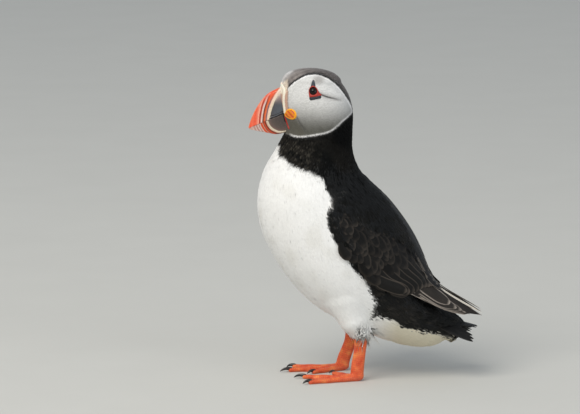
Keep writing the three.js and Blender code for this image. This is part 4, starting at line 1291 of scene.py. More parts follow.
def mandible(name, edge, shift, centre, rings, material, stands, first=-0.1, last=1.0, proud=0.0,
             rows=130, half=56):
    share = np.linspace(first, last, rows)[:, None]
    rising = np.sin(np.linspace(0, np.pi / 2, half)) ** 1.0
    h = np.concatenate([rising, rising[-2::-1]])[None]
    side = np.concatenate([-np.ones(half), np.ones(half - 1)])[None]
    share, h, side = np.broadcast_arrays(share, h, side)
    shape = proud * np.sqrt(np.clip(1 - ((share - (first + last) / 2) / ((last - first) / 2)) ** 2, 0, 1))
    points = billPoint(bill[edge], shift, share, h, side, shape)
    surface = surfaceOf(points, False)
    outwards = surface["normal"] * np.sign(surface["normal"][..., 1:2] * side[..., None] + 1e-9)
    crease = mouthCreases(points) if edge == "culmen" else np.zeros(points.shape[:2])
    relief = ringRelief(points, centre, rings) + 0.22 * np.minimum(crease, 0.4)
    points = points + outwards * relief[..., None] * (h < 0.985)[..., None]
    rows, columns = points.shape[:2]
    ends = np.stack([points[0].mean(0), points[-1].mean(0)])
    flip = edge == "gonys"
    grid = gridFaces(rows, columns, wrapColumns=True)
    faces = [grid[:, ::-1] if flip else grid,
             fanFaces(rows * columns, np.arange(columns), flip=not flip),
             fanFaces(rows * columns + 1, np.arange(columns) + (rows - 1) * columns, flip=flip)]
    everything = np.concatenate([points.reshape(-1, 3), ends])
    marks = {"crease": np.concatenate([crease.ravel(), [0.0, 0.0]])}
    return makePiece(name, everything, faces, material, stands, marks)


# bill horn: keratin sheath, semi-gloss, in bands that follow the grooves, with fine growth lines. Towards
# the culmen the bands run together, and its ridge is paler. Painted shade darkens the creases above the
# mouth line, and a painted highlight lightens the fold between them.
def hornMaterial(name, centre, reach, bands, culmenBands=None):
    material, tree, shader = newMaterial(name, {"Roughness": 0.36, "Specular IOR Level": 0.45,
                                                "Coat Weight": 0.15, "Coat Roughness": 0.25})
    place = addNode(tree, "TexCoord")
    apart = addNode(tree, "SeparateXYZ", {}, {0: place.outputs["Object"]})
    drifted = addNode(tree, "TexNoise", {"Scale": 1 / (4 * mm), "Detail": 3}, {"Vector": place.outputs["Object"]})
    flat = addNode(tree, "VectorMath", {"operation": "MULTIPLY", 1: (1, 0, 1)}, {0: place.outputs["Object"]})
    away = addNode(tree, "VectorMath", {"operation": "DISTANCE", 1: (centre[0] * mm, 0, centre[1] * mm)},
                   {0: flat.outputs[0]})
    wobble = addNode(tree, "MapRange", {3: -0.3 * mm, 4: 0.3 * mm}, {0: drifted.outputs["Fac"]})
    far = addNode(tree, "Math", {"operation": "ADD"}, {0: away.outputs["Value"], 1: wobble.outputs[0]})
    share = addNode(tree, "MapRange", {1: reach[0] * mm, 2: reach[1] * mm}, {0: far.outputs[0]})

    sets = [[((at - reach[0]) / (reach[1] - reach[0]), shade) for at, shade in colours]
            for colours in (bands, culmenBands or bands)]
    tint = addNode(tree, "ValToRGB", {}, {0: share.outputs[0]}, sets[0]).outputs[0]
    if culmenBands:
        high = addNode(tree, "MapRange", {"interpolation_type": "SMOOTHSTEP", 1: 206 * mm, 2: 217 * mm},
                       {0: apart.outputs["Z"]})
        upper = addNode(tree, "ValToRGB", {}, {0: share.outputs[0]}, sets[1]).outputs[0]
        tint = addNode(tree, "Mix", {"data_type": "RGBA"}, {0: high.outputs[0], 6: tint, 7: upper}).outputs[2]
        aside = addNode(tree, "Math", {"operation": "ABSOLUTE"}, {0: apart.outputs["Y"]})
        ridge = addNode(tree, "MapRange", {1: 1.0 * mm, 2: 0.25 * mm, 4: 0.5}, {0: aside.outputs[0]})
        tint = addNode(tree, "Mix", {"data_type": "RGBA", 7: "#f4a274"}, {0: ridge.outputs[0], 6: tint}).outputs[2]
        # painted shade in the creases above the mouth line, painted highlight on the fold between them
        crease = addNode(tree, "Attribute", {"attribute_name": "crease"})
        dark = addNode(tree, "MapRange", {1: -0.1, 2: -0.6}, {0: crease.outputs["Fac"]})
        pale = addNode(tree, "MapRange", {1: 0.2, 2: 0.8, 4: 0.6}, {0: crease.outputs["Fac"]})
        tint = addNode(tree, "Mix", {"data_type": "RGBA", 7: "#241c1a"}, {0: dark.outputs[0], 6: tint}).outputs[2]
        tint = addNode(tree, "Mix", {"data_type": "RGBA", 7: "#8f8d8f"}, {0: pale.outputs[0], 6: tint}).outputs[2]
    lines = addNode(tree, "TexNoise", {"Scale": 1 / (1.1 * mm), "Detail": 4}, {"Vector": place.outputs["Object"]})
    mottle = addNode(tree, "MapRange", {1: 0.3, 2: 0.7, 3: 0.8, 4: 1.02}, {0: lines.outputs["Fac"]})
    colour = addNode(tree, "Mix", {"data_type": "RGBA", "blend_type": "MULTIPLY", 0: 1.0},
                     {6: tint, 7: mottle.outputs[0]})
    tree.links.new(colour.outputs[2], shader.inputs["Base Color"])
    bump = addNode(tree, "Bump", {"Strength": 0.3, "Distance": 0.15 * mm}, {"Height": lines.outputs["Fac"]})
    tree.links.new(bump.outputs["Normal"], shader.inputs["Normal"])
    return material


upperBands = [(28, "#4a4d52"), (34, "#50555c"), (38.6, "#4b4b50"), (39.4, "#4a3f40"), (39.8, "#e6dcc0"),
              (41.0, "#edd2ba"), (41.9, "#e2b39c"), (42.2, "#6d5660"), (42.8, "#85666c"), (43.2, "#e2703a"),
              (44.1, "#d4561f"), (44.5, "#722e16"), (45.1, "#7a3a2c"), (45.4, "#e8cfc4"), (46.2, "#e3c0b2"),
              (46.7, "#a82e12"), (47.6, "#c43a16"), (48.0, "#f2ac92"), (49.2, "#ec7c60"), (50.6, "#ea5632"),
              (52.4, "#ee6a48"), (54.4, "#ea4c26"), (56.4, "#ee6c44"), (58, "#ec6636"), (59, "#f08c62")]
culmenBands = [(28, "#8c7f82"), (34, "#b39c98"), (38.4, "#c3a79e"), (39.6, "#f0dfcb"), (41.4, "#f2d6c0"),
               (42.2, "#d7603a"), (43.4, "#f0582a"), (45.6, "#ee5834"), (47, "#f0684c"), (49, "#ee5638"),
               (52, "#f0644a"), (55, "#ec522a"), (58, "#ee6a3c")]
lowerBands = [(0, "#4d4340"), (6, "#5a4d48"), (8.4, "#6b5852"), (9.4, "#8a6a5c"), (9.9, "#e6dcc4"),
              (11.2, "#e8cdb4"), (11.5, "#c05a34"), (11.9, "#7c2a12"), (12.3, "#7e2c12"), (12.7, "#dd4f1e"),
              (13.4, "#c64018"), (13.8, "#7e2c14"), (14.1, "#e4b09a"), (14.5, "#e8602a"), (15.6, "#e24a1c"),
              (16.1, "#ecd0c4"), (17.2, "#b98474"), (17.8, "#edd4ca"), (19.2, "#b67a6a"), (19.8, "#ecd0c6"),
              (21, "#c89080"), (22, "#eccabd"), (25, "#eea890")]
mandible("upper_mandible", "culmen", 0.15, bill["upperCentre"], bill["upperGrooves"],
         hornMaterial("banded upper bill horn", bill["upperCentre"], (28, 59), upperBands, culmenBands),
         ("bill_upper",))
mandible("lower_mandible", "gonys", -0.15, bill["lowerCentre"], bill["lowerGrooves"],
         hornMaterial("banded lower bill horn", bill["lowerCentre"], (0, 26), lowerBands), ("bill_lower",))
print("bill made")


# cere: soft waxy skin, pale yellow, finely pimpled
def cereMaterial(name, light, dark):
    material, tree, shader = newMaterial(name, {"Roughness": 0.5, "Specular IOR Level": 0.35,
                                                "Subsurface Weight": 0.1, "Subsurface Scale": 0.6 * mm})
    place = addNode(tree, "TexCoord")
    pimples = addNode(tree, "TexVoronoi", {"Scale": 1 / (0.55 * mm)}, {"Vector": place.outputs["Object"]})
    tint = addNode(tree, "ValToRGB", {}, {0: pimples.outputs["Distance"]}, [(0.0, light), (0.7, dark)])
    tree.links.new(tint.outputs[0], shader.inputs["Base Color"])
    bump = addNode(tree, "Bump", {"Strength": 0.3, "Distance": 0.1 * mm}, {"Height": pimples.outputs["Distance"]})
    tree.links.new(bump.outputs["Normal"], shader.inputs["Normal"])
    return material


waxySkin = cereMaterial("waxy cere skin", "#f6f2e6", "#e6dcc6")
mandible("cere_base", "culmen", 0.15, bill["upperCentre"], [(0, 1, 0)], waxySkin, ("bill_cere",),
         first=-0.06, last=0.03, proud=0.5, rows=18)


# A roll of skin on the head: its middle runs along places s and w, where w is v counted from the front
# outline, and its section is a half round that thins out towards its two ends.
def rollOnHead(name, s, w, width, height, material, rows=160, columns=15, taper=0.12):
    t = np.linspace(0, 1, rows)
    middle = outerPoint(reading(s, t), reading(w, t) % 1)
    ahead = unit(np.gradient(middle, axis=0))
    nudge = 0.002
    slopeS = outerPoint(reading(s, t) + nudge, reading(w, t) % 1) - outerPoint(reading(s, t) - nudge, reading(w, t) % 1)
    slopeW = outerPoint(reading(s, t), (reading(w, t) + nudge) % 1) - outerPoint(reading(s, t), (reading(w, t) - nudge) % 1)
    normal = unit(np.cross(slopeS, slopeW))
    centre = np.array([-40.0, 0, 205])
    normal = normal * np.sign(dot(normal, middle - centre))
    beside = np.cross(ahead, normal)
    turn = np.linspace(0, 2 * np.pi, columns, endpoint=False)
    ends = np.sqrt(np.clip(1 - (np.maximum(np.abs(2 * t - 1) - 1 + taper, 0) / taper) ** 2, 0, 1))[:, None, None]
    points = (middle[:, None] + beside[:, None] * (width / 2 * np.cos(turn))[None, :, None] * ends
              + normal[:, None] * (height * np.sin(turn))[None, :, None] * ends)
    tips = np.stack([points[0].mean(0), points[-1].mean(0)])
    count = rows * columns
    faces = [gridFaces(rows, columns, wrapColumns=True)[:, ::-1], fanFaces(count, np.arange(columns)),
             fanFaces(count + 1, np.arange(columns) + count - columns, flip=True)]
    # relief mark for painted light and shade: lighter on top of the roll, darker underneath
    marks = {"relief": np.concatenate([np.tile(0.5 + 0.3 * np.sin(turn), rows), [0.5, 0.5]])}
    makePiece(name, np.concatenate([points.reshape(-1, 3), tips]), faces, material, (), marks)


# the raised cere rim climbs the left cheek from the gape, crosses the forehead and comes down the right
def makeCereRim():
    line = np.array(outlines["cere"])
    s, v = fromSide(line[:, 0], line[:, 1])
    top = np.interp(221.8, [loftPoint(np.array(q), np.array(0.0))[2] for q in (0.2, 0.16, 0.12, 0.08)],
                    (0.2, 0.16, 0.12, 0.08))
    s = np.concatenate([s, [top], s[::-1]])
    w = np.concatenate([v - 1, [0.0], 1 - v[::-1]])
    rollOnHead("cere_rim", s, w, 2.9, 0.8, waxySkin, taper=0.04)


makeCereRim()
print("cere made")

eye = {"place": (-39.6, 219.4), "radius": 3.9, "sink": 2.1, "opening": 2.75,
       "ring": [(-2.8, -4.9), (-3.4, -1.0), (-3.2, 1.4), (-1.8, 3.2), (-0.3, 4.4), (1.6, 3.2), (3.1, 1.6),
                (3.6, 0.3), (4.9, -1.2), (6.8, -3.1)]}

rosette = {"middle": (-56.0, 201.4), "radius": 4.2, "corners": [(3.5, 1.0, 0.5), (-0.9, 0.5, 0.8)],
           "slant": 0.8, "foldApart": 2.6,
           "redLine": [(-60.5, 199.0), (-59.5, 195.8), (-58.5, 192.6), (-57.3, 189.2)],
           "blackLine": [(-61.7, 201.6), (-61.1, 199.2), (-60.5, 196.8), (-59.9, 194.4)]}


# a place on the left side of the face from side-view x and z, lifted along the normal
def onFace(x, z, lift):
    s, v = fromSide(x, z)
    point = outerPoint(s, v)
    step = 0.4
    near = [outerPoint(*fromSide(x + dx, z + dz)) for dx, dz in ((step, 0), (-step, 0), (0, step), (0, -step))]
    normal = unit(np.cross(near[0] - near[1], near[2] - near[3]))
    normal = normal * np.where(normal[..., 1:2] > 0, -1, 1)
    return point + normal * np.asarray(lift)[..., None], normal


# the two sides' pieces of one shape, the right one mirrored
def bothSides(name, node, points, faces, material, marks=None):
    for side, flip in (("left", False), ("right", True)):
        made = points * (1, -1, 1) if flip else points
        turned = [f[:, ::-1] for f in faces] if flip else faces
        makePiece(f"{name}_{side}", made, turned, material, (f"{node}_{side}",), marks)


# eyeball: a wet glassy cornea over a dark brown iris and a black pupil
def eyeMaterial():
    material, tree, shader = newMaterial("dark brown eye under a wet cornea", {
        "Roughness": 0.1, "IOR": 1.376, "Specular IOR Level": 0.25, "Coat Weight": 0.25, "Coat Roughness": 0.02,
        "Coat IOR": 1.38})
    turn = addNode(tree, "Attribute", {"attribute_name": "fromPole"})
    ramp = addNode(tree, "ValToRGB", {}, {0: turn.outputs["Fac"]},
                   [(0.0, "#010101"), (0.235, "#020202"), (0.25, "#160d0a"), (0.33, "#22140e"), (0.4, "#110b09"),
                    (0.43, "#060505")])
    tree.links.new(ramp.outputs[0], shader.inputs["Base Color"])
    return material


def makeEyes():
    centre, normal = onFace(np.array(eye["place"][0]), np.array(eye["place"][1]), np.array(-eye["sink"]))
    east = unit(np.array([1.0, 0, 0]) - normal * normal[0])
    north = np.cross(east, normal)
    turn = np.linspace(0, np.pi, 40)[1:-1, None]
    about = np.linspace(0, 2 * np.pi, 56, endpoint=False)[None]
    radius = eye["radius"] * (1 + 0.035 * np.exp(-(turn / 0.5) ** 2))
    points = (centre + normal * (radius * np.cos(turn) + 0 * about)[..., None]
              + east * (radius * np.sin(turn) * np.cos(about))[..., None]
              + north * (radius * np.sin(turn) * np.sin(about))[..., None])
    rows, columns = points.shape[:2]
    poles = np.stack([centre + normal * radius[0, 0], centre - normal * eye["radius"]])
    faces = [gridFaces(rows, columns, wrapColumns=True), fanFaces(rows * columns, np.arange(columns), flip=True),
             fanFaces(rows * columns + 1, np.arange(columns) + (rows - 1) * columns)]
    marks = {"fromPole": np.concatenate([np.repeat(turn[:, 0], columns), [0, np.pi]]) / np.pi * 2}
    bothSides("eyeball", "eye", np.concatenate([points.reshape(-1, 3), poles]), faces, eyeMaterial(), marks)


# bare skin of the face: soft, moist, wrinkled, with painted light and shade: after the relief mark its
# colour darkens low in folds and under rolls and lightens on their tops
def fleshMaterial(name, light, dark, wrinkle, roughness):
    material, tree, shader = newMaterial(name, {"Roughness": roughness, "Specular IOR Level": 0.45,
                                                "Subsurface Weight": 0.12, "Subsurface Scale": 0.5 * mm})
    place = addNode(tree, "TexCoord")
    folds = addNode(tree, "TexNoise", {"Scale": 1 / (wrinkle * mm), "Detail": 3}, {"Vector": place.outputs["Object"]})
    relief = addNode(tree, "Attribute", {"attribute_name": "relief"})
    # painted light and shade from the relief mark, with the wrinkle noise
    mixed = addNode(tree, "Math", {"operation": "MULTIPLY_ADD", 1: 0.35}, {0: folds.outputs["Fac"], 2: relief.outputs["Fac"]})
    tint = addNode(tree, "ValToRGB", {}, {0: mixed.outputs[0]}, [(0.3, dark), (0.85, light)])
    tree.links.new(tint.outputs[0], shader.inputs["Base Color"])
    bump = addNode(tree, "Bump", {"Strength": 0.4, "Distance": 0.15 * mm}, {"Height": folds.outputs["Fac"]})
    tree.links.new(bump.outputs["Normal"], shader.inputs["Normal"])
    return material


# a straight-sided outline with its corners softened, as many evenly spread points
def softOutline(corners, count=72, soft=3):
    corners = np.asarray(corners, float)
    closed = np.vstack([corners, corners[:1]])
    run = np.concatenate([[0], np.cumsum(np.linalg.norm(np.diff(closed, axis=0), axis=1))])
    at = np.linspace(0, run[-1], count, endpoint=False)
    points = np.stack([np.interp(at, run, closed[:, k]) for k in (0, 1)], 1)
    for _ in range(soft):
        points = points * 0.5 + (np.roll(points, 1, axis=0) + np.roll(points, -1, axis=0)) * 0.25
    return points


# how far an outline round the origin reaches at each angle
def reachOf(outline, angle):
    around = np.arctan2(outline[:, 1], outline[:, 0])
    return np.interp(angle, around, np.hypot(outline[:, 0], outline[:, 1]), period=2 * np.pi)


def makeEyeRings():
    angle = np.linspace(0, 2 * np.pi, 96, endpoint=False)[:, None]
    turn = np.linspace(0, 2 * np.pi, 18, endpoint=False)[None]
    outer = reachOf(softOutline(eye["ring"], 120, 6), angle)
    middle, half = (outer + eye["opening"]) / 2, (outer - eye["opening"]) / 2
    away = middle + half * np.cos(turn)
    folds = 0.07 * np.sin(angle * 23) * np.sin(turn)
    height = 0.25 + 0.5 * np.sin(turn) + 0.35 * (0.5 - 0.5 * np.cos(turn)) + folds
    x, z = eye["place"][0] + away * np.cos(angle), eye["place"][1] + away * np.sin(angle)
    points, _ = onFace(x, z, height)
    rows, columns = points.shape[:2]
    faces = [gridFaces(rows, columns, wrapRows=True, wrapColumns=True)[:, ::-1]]
    # relief mark for painted light and shade: lighter on the ring's raised top, darker down its sides
    marks = {"relief": (0.45 + 0.4 * np.sin(turn) + 0 * angle).ravel()}
    flesh = fleshMaterial("red eye ring skin", "#a52819", "#480b07", 0.8, 0.42)
    bothSides("eyelid_ring", "eye_ring", points.reshape(-1, 3), faces, flesh, marks)


# a pad that lies on the face: rings from its middle out to an outline, rounded over, closed underneath
def padOnFace(name, node, middle, outline, height, material, folds=None, rings=18):
    outline = np.asarray(outline, float)
    if np.cross(outline, np.roll(outline, -1, axis=0)).sum() > 0:
        outline = outline[::-1]
    share = np.sin(np.linspace(0, np.pi / 2, rings + 1)[1:])[:, None]
    x = middle[0] + (outline[:, 0] - middle[0])[None] * share
    z = middle[1] + (outline[:, 1] - middle[1])[None] * share
    relief = np.zeros_like(x) if folds is None else folds(x, z, share)
    lift = -0.8 + (height + 0.8) * np.sqrt(np.clip(1 - share ** 4, 0, 1)) + relief
    top, _ = onFace(x, z, lift)
    peak, _ = onFace(np.array([middle[0]]), np.array([middle[1]]), np.array([height]))
    floor, _ = onFace(np.array([middle[0]]), np.array([middle[1]]), np.array([-0.9]))
    rows, columns = top.shape[:2]
    count = rows * columns
    faces = [gridFaces(rows, columns, wrapColumns=True), fanFaces(count, np.arange(columns), flip=True),
             fanFaces(count + 1, np.arange(columns) + count - columns)]
    points = np.concatenate([top.reshape(-1, 3), peak, floor])
    # relief mark for painted light and shade: darker in the folds' grooves, lighter on the raised rim
    marks = {"relief": np.concatenate([(0.5 + relief * 1.6 + 0 * x).ravel(), [0.5, 0.5]])}
    bothSides(name, node, points, faces, material, marks)


# how far a drawn-out outline reaches from its middle at each angle
def drawnOut(angle, radius, corners):
    reach = np.full_like(angle, radius)
    for at, pull, spread in corners:
        turn = np.arctan2(np.sin(angle - at), np.cos(angle - at))
        reach = reach + pull * np.exp(-(turn / spread) ** 2)
    return reach


def makeFaceOrnaments():
    horn = fleshMaterial("blue grey horn plate", "#434c55", "#14171a", 0.5, 0.5)
    atEye = np.array(eye["place"])
    upper = softOutline([(-2.1, 2.9), (1.8, 2.9), (1.6, 5.4), (0.7, 8.2), (-0.5, 8.2), (-1.4, 5.8)]) + atEye
    lower = softOutline([(-3.5, -4.5), (-2.7, -7.0), (6.3, -4.9), (6.1, -2.9)]) + atEye
    darkHorn = fleshMaterial("slate black horn plate", "#2a3037", "#0c0e10", 0.5, 0.6)
    padOnFace("brow_plate", "eye_plate_upper", upper.mean(0), upper, 1.0, horn)
    padOnFace("cheek_plate", "eye_plate_lower", lower.mean(0), lower, 1.1, darkHorn)
    # the gape rosette: an egg outline, its point to the lower left, with slanted folds inside a rim
    angle = np.linspace(0, 2 * np.pi, 96, endpoint=False)
    middle = np.array(rosette["middle"])
    reach = drawnOut(angle, rosette["radius"], rosette["corners"])[:, None]
    rim = middle + reach * np.stack([np.cos(angle), np.sin(angle)], -1)

    def folds(x, z, share):
        slant = (x - middle[0]) * math.cos(rosette["slant"]) + (z - middle[1]) * math.sin(rosette["slant"])
        inside = 1 - rise(0.62, 0.78, share)
        ribs = -0.42 * (0.5 + 0.5 * np.cos(slant * 2 * np.pi / rosette["foldApart"])) ** 4 * inside - 0.06 * inside
        return ribs + 0.22 * np.exp(-((share - 0.86) / 0.12) ** 2)

    skin = fleshMaterial("yellow orange gape skin", "#f2a416", "#c2480c", 0.9, 0.42)
    padOnFace("gape_rosette", "rosette", middle, rim, 1.3, skin, folds, rings=26)
    # the dark red bare line that runs down from the gape, and before it a black roll, a painted shadow where
    #     # the bill meets the face
    red = fleshMaterial("dark red gape skin", "#9e1f10", "#560c06", 0.8, 0.4)
    black = fleshMaterial("black painted gape shadow", "#1c1312", "#0a0706", 0.8, 0.5)
    for name, line, wide, high, material in (("gape_line", rosette["redLine"], 1.7, 0.75, red),
                                             # the black roll is painted shadow
                                             ("gape_shadow", rosette["blackLine"], 1.7, 1.2, black)):
        line = np.array(line)
        s, v = fromSide(line[:, 0], line[:, 1])
        for side, w in (("left", v - 1), ("right", 1 - v)):
            rollOnHead(f"{name}_{side}", s, w, wide, high, material, 60, 12, 0.3)


makeEyes()
makeEyeRings()
makeFaceOrnaments()
print("eyes and face ornaments made")

# Each limb is rings round a path. The tarsus, toes and webs are then made one smooth skin.
legs = {
    "left": {"shank": [(-5.2, -19.8, 42), (-4, -19.6, 35), (-4.3, -19.6, 25), (-6, -19.6, 12), (-6.6, -19.6, 4.6)],
             "turn": {"outer": 19, "middle": -11, "inner": -50}},
    "right": {"shank": [(-9.6, 20, 40), (-9.4, 19.8, 32), (-11.2, 19.8, 22), (-15.6, 19.8, 10), (-17, 19.8, 4.6)],
              "turn": {"outer": -10, "middle": 10, "inner": 33}},
    "reach": {"outer": 37, "middle": 40, "inner": 26},
    "claw": {"outer": 6, "middle": 8, "inner": 6},
    "webHigh": 1.25,
    "voxel": 0.42,
}


# rings round a path, rounded at both ends: deep is the half size upright across the path, wide the level one
def limb(path, deep, wide, rows=48, columns=28, endShare=0.06):
    u = np.linspace(0.0005, 0.9995, rows)
    beyond = np.maximum(np.maximum(endShare - u, u - 1 + endShare), 0) / endShare
    t = np.clip((u - endShare) / (1 - 2 * endShare), 0, 1)
    middle = reading(path, t)
    ahead = unit(reading(path, np.minimum(t + 0.01, 1)) - reading(path, np.maximum(t - 0.01, 0)))
    upright = unit(np.cross([0.0, 1, 0], ahead))
    level = np.cross(ahead, upright)
    deep, wide = reading(np.array(deep), t), reading(np.array(wide), t)
    shrink = np.sqrt(np.clip(1 - beyond ** 2, 0, 1))
    middle = middle + ahead * (np.sign(u - 0.5) * beyond * np.minimum(deep, wide))[:, None]
    turn = np.linspace(0, 2 * np.pi, columns, endpoint=False)
    points = (middle[:, None] + upright[:, None] * (np.cos(turn) * (deep * shrink)[:, None])[..., None]
              + level[:, None] * (np.sin(turn) * (wide * shrink)[:, None])[..., None])
    count = rows * columns
    faces = [gridFaces(rows, columns, wrapColumns=True), fanFaces(count, np.arange(columns), flip=True),
             fanFaces(count + 1, np.arange(columns) + count - columns)]
    ends = np.stack([points[0].mean(0), points[-1].mean(0)])
    return np.concatenate([points.reshape(-1, 3), ends]), faces


# where a toe's line stands at a distance from the foot joint
def alongToe(leg, toe, distance, z):
    joint = np.array(leg["shank"][-1], float)
    turn = math.radians(leg["turn"][toe])
    distance = np.asarray(distance, float)
    return np.stack([joint[0] - math.cos(turn) * distance, joint[1] - math.sin(turn) * distance,
                     np.broadcast_to(np.asarray(z, float), distance.shape)], -1)


# a web between two toes: its front edge hangs back between their ends, and it thins to that edge
def web(leg, first, second):
    out, across = np.linspace(0.05, 1, 40)[:, None], np.linspace(0, 1, 40)[None]
    one = alongToe(leg, first, out * legs["reach"][first] * 0.93, 0.0)
    two = alongToe(leg, second, out * legs["reach"][second] * 0.93, 0.0)
    joint = np.array([*leg["shank"][-1][:2], 0.0])
    flat = one + (two - one) * across[..., None]
    sag = 0.2 * np.sin(np.pi * across) * out ** 2
    flat = flat + (joint - flat) * sag[..., None]
    folds = 0.12 * np.sin(across * 31) * out
    high = legs["webHigh"] * (1 - 0.25 * out) + folds
    top, under = flat + np.array([0, 0, 1.0]) * high[..., None], flat
    rows, columns = top.shape[:2]
    index = np.arange(rows * columns).reshape(rows, columns)
    rim = np.concatenate([index[0, :-1], index[:-1, -1], index[-1, :0:-1], index[:0:-1, 0]])
    after = np.roll(rim, -1)
    wall = np.stack([rim, after, after + rows * columns, rim + rows * columns], -1)
    sheet = gridFaces(rows, columns)
    return np.concatenate([top.reshape(-1, 3), under.reshape(-1, 3)]), [sheet, sheet[:, ::-1] + rows * columns, wall[:, ::-1]]


# joins loose closed shapes into one even skin by remeshing, then smooths it
def oneSkin(name, shapes):
    points, faces, base = [], [], 0
    for shapePoints, shapeFaces in shapes:
        points.append(shapePoints)
        faces += [(f + base).tolist() for f in shapeFaces]
        base += len(shapePoints)
    mesh = bpy.data.meshes.new(name)
    mesh.from_pydata((np.concatenate(points) * mm).tolist(), [], [face for group in faces for face in group])
    work = bpy.data.objects.new(name, mesh)
    bpy.context.scene.collection.objects.link(work)
    remesh = work.modifiers.new("oneSkin", "REMESH")
    remesh.mode = "VOXEL"
    remesh.voxel_size = legs["voxel"] * mm
    smooth = work.modifiers.new("evened", "SMOOTH")
    smooth.factor = 0.5
    smooth.iterations = 3
    made = bpy.data.meshes.new_from_object(work.evaluated_get(bpy.context.evaluated_depsgraph_get()))
    found = np.zeros(len(made.vertices) * 3)
    made.vertices.foreach_get("co", found)
    corners = np.zeros(len(made.loops), np.int32)
    made.loops.foreach_get("vertex_index", corners)
    sizes = np.zeros(len(made.polygons), np.int32)
    made.polygons.foreach_get("loop_total", sizes)
    starts = np.concatenate([[0], np.cumsum(sizes)[:-1]])
    quads = starts[sizes == 4][:, None] + np.arange(4)
    others = starts[sizes == 3][:, None] + np.arange(3)
    bpy.data.objects.remove(work)
    bpy.data.meshes.remove(mesh)
    bpy.data.meshes.remove(made)
    return found.reshape(-1, 3) / mm, [corners[quads], corners[others]]


# distance from points to a 3-D path and the run along it, mm
def toPath(points, path):
    path = np.asarray(path, float)
    best, run, total = np.full(len(points), np.inf), np.zeros(len(points)), 0.0
    for start, end in zip(path[:-1], path[1:]):
        way = end - start
        share = np.clip(((points - start) @ way) / (way @ way), 0, 1)
        away = np.linalg.norm(points - start - share[:, None] * way, axis=1)
        run = np.where(away < best, total + share * np.linalg.norm(way), run)
        best = np.minimum(best, away)
        total += np.linalg.norm(way)
    return best, run


# leg skin: soft orange-red hide with scutes across the front and the toes, and a fine net on the webs
def legMaterial():
    material, tree, shader = newMaterial("scaled orange leg skin", {
        "Roughness": 0.45, "Specular IOR Level": 0.45, "Subsurface Weight": 0.15, "Subsurface Scale": 0.8 * mm})
    run = addNode(tree, "Attribute", {"attribute_name": "run"})
    onWeb = addNode(tree, "Attribute", {"attribute_name": "onWeb"})
    place = addNode(tree, "TexCoord")
    net = addNode(tree, "TexVoronoi", {"feature": "DISTANCE_TO_EDGE", "Scale": 1 / (0.9 * mm)}, {"Vector": place.outputs["Object"]})
    wave = addNode(tree, "Math", {"operation": "MULTIPLY", 1: 2 * math.pi / 1.6}, {0: run.outputs["Fac"]})
    scutes = addNode(tree, "Math", {"operation": "SINE"}, {0: wave.outputs[0]})
    ridge = addNode(tree, "MapRange", {1: -1.0, 2: -0.75, 3: 0.45}, {0: scutes.outputs[0]})
    cells = addNode(tree, "MapRange", {1: 0.0, 2: 0.14, 3: 0.35}, {0: net.outputs["Distance"]})
    scaled = addNode(tree, "Math", {"operation": "MULTIPLY"}, {0: ridge.outputs[0], 1: cells.outputs[0]})
    relief = addNode(tree, "Mix", {"data_type": "FLOAT"},
                     {0: onWeb.outputs["Fac"], 2: scaled.outputs[0], 3: cells.outputs[0]})
    blotch = addNode(tree, "TexNoise", {"Scale": 1 / (6 * mm), "Detail": 4}, {"Vector": place.outputs["Object"]})
    base = addNode(tree, "ValToRGB", {}, {0: blotch.outputs["Fac"]}, [(0.3, "#d64a20"), (0.52, "#ea6a38"), (0.72, "#f6964e")])
    webTint = addNode(tree, "Mix", {"data_type": "RGBA", 7: "#dc6442"}, {0: onWeb.outputs["Fac"], 6: base.outputs[0]})
    crease = addNode(tree, "MapRange", {3: 0.62, 4: 1.04}, {0: relief.outputs[0]})
    colour = addNode(tree, "Mix", {"data_type": "RGBA", "blend_type": "MULTIPLY", 0: 1.0}, {6: webTint.outputs[2], 7: crease.outputs[0]})
    tree.links.new(colour.outputs[2], shader.inputs["Base Color"])
    bump = addNode(tree, "Bump", {"Strength": 0.8, "Distance": 0.25 * mm}, {"Height": relief.outputs[0]})
    tree.links.new(bump.outputs["Normal"], shader.inputs["Normal"])
    return material


# claw horn: black keratin, polished by wear, faintly streaked along
def clawMaterial():
    material, tree, shader = newMaterial("black claw horn", {"Roughness": 0.3, "Specular IOR Level": 0.5})
    place = addNode(tree, "TexCoord")
    streaks = addNode(tree, "TexNoise", {"Scale": 1 / (1.5 * mm), "Detail": 3}, {"Vector": place.outputs["Object"]})
    tint = addNode(tree, "ValToRGB", {}, {0: streaks.outputs["Fac"]}, [(0.35, "#141211"), (0.7, "#2e2926")])
    tree.links.new(tint.outputs[0], shader.inputs["Base Color"])
    return material


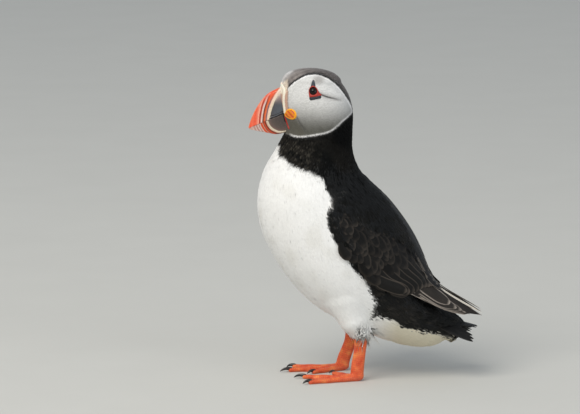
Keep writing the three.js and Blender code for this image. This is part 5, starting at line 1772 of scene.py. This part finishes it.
def makeLegs():
    skin, horn = legMaterial(), clawMaterial()
    for side in ("left", "right"):
        leg = legs[side]
        x, y, _ = leg["shank"][-1]
        shapes = [limb(leg["shank"], [3.8, 5.3, 4.6, 4.9, 5.0], [3.2, 3.7, 2.7, 2.8, 3.4], 90),
                  limb([(x + 1.6, y, 3.8), (x - 3, y, 3.2)], [3.6, 3.2], [3.6, 3.4], endShare=0.3)]
        lines = [leg["shank"]]
        for toe in ("outer", "middle", "inner"):
            reach = legs["reach"][toe]
            share = np.array([0, 0.15, 0.3, 0.48, 0.65, 0.83, 1.0])
            high = np.array([3, 2.3, 1.9, 1.75, 1.6, 1.55, 1.5])
            path = alongToe(leg, toe, share * reach, high)
            knuckle = np.array([0, 0, 0.12, -0.08, 0.14, -0.08, 0.1])
            deep = np.array([3.6, 2.7, 2.25, 2.0, 1.95, 1.75, 1.7]) + knuckle
            wide = np.array([2.9, 2.6, 2.4, 2.1, 2.2, 1.95, 1.9]) + knuckle
            shapes.append(limb(path, np.minimum(deep, high + 0.9), wide, 80))
            lines.append(path)
            out = alongToe(leg, toe, reach + np.array([-1.5, 0.3, legs["claw"][toe] * 0.45, legs["claw"][toe] * 0.8, legs["claw"][toe]]),
                           np.array([1.8, 2.4, 2.6, 1.8, 0.75]))
            points, faces = limb(out, [1.3, 1.4, 1.1, 0.7, 0.22], [1.1, 1.2, 0.95, 0.6, 0.2], 40, 20, 0.08)
            makePiece(f"claw_horn_{toe}_{side}", points, faces, horn, (f"claw_{toe}_{side}",))
        shapes += [web(leg, "outer", "middle"), web(leg, "middle", "inner")]
        points, faces = oneSkin(f"leg_{side}", shapes)
        points[:, 2] = np.maximum(points[:, 2], 0)
        away, run = zip(*[toPath(points, line) for line in lines])
        nearest = np.argmin(away, axis=0)
        run = np.choose(nearest, run)
        onWeb = rise(2.0, 3.0, np.min(away, axis=0)) * rise(4, 2.5, points[:, 2])
        makePiece(f"leg_{side}", points, faces, skin, (f"tarsus_{side}", f"foot_{side}"),
                  {"run": run, "onWeb": onWeb})


makeLegs()
print("legs made")
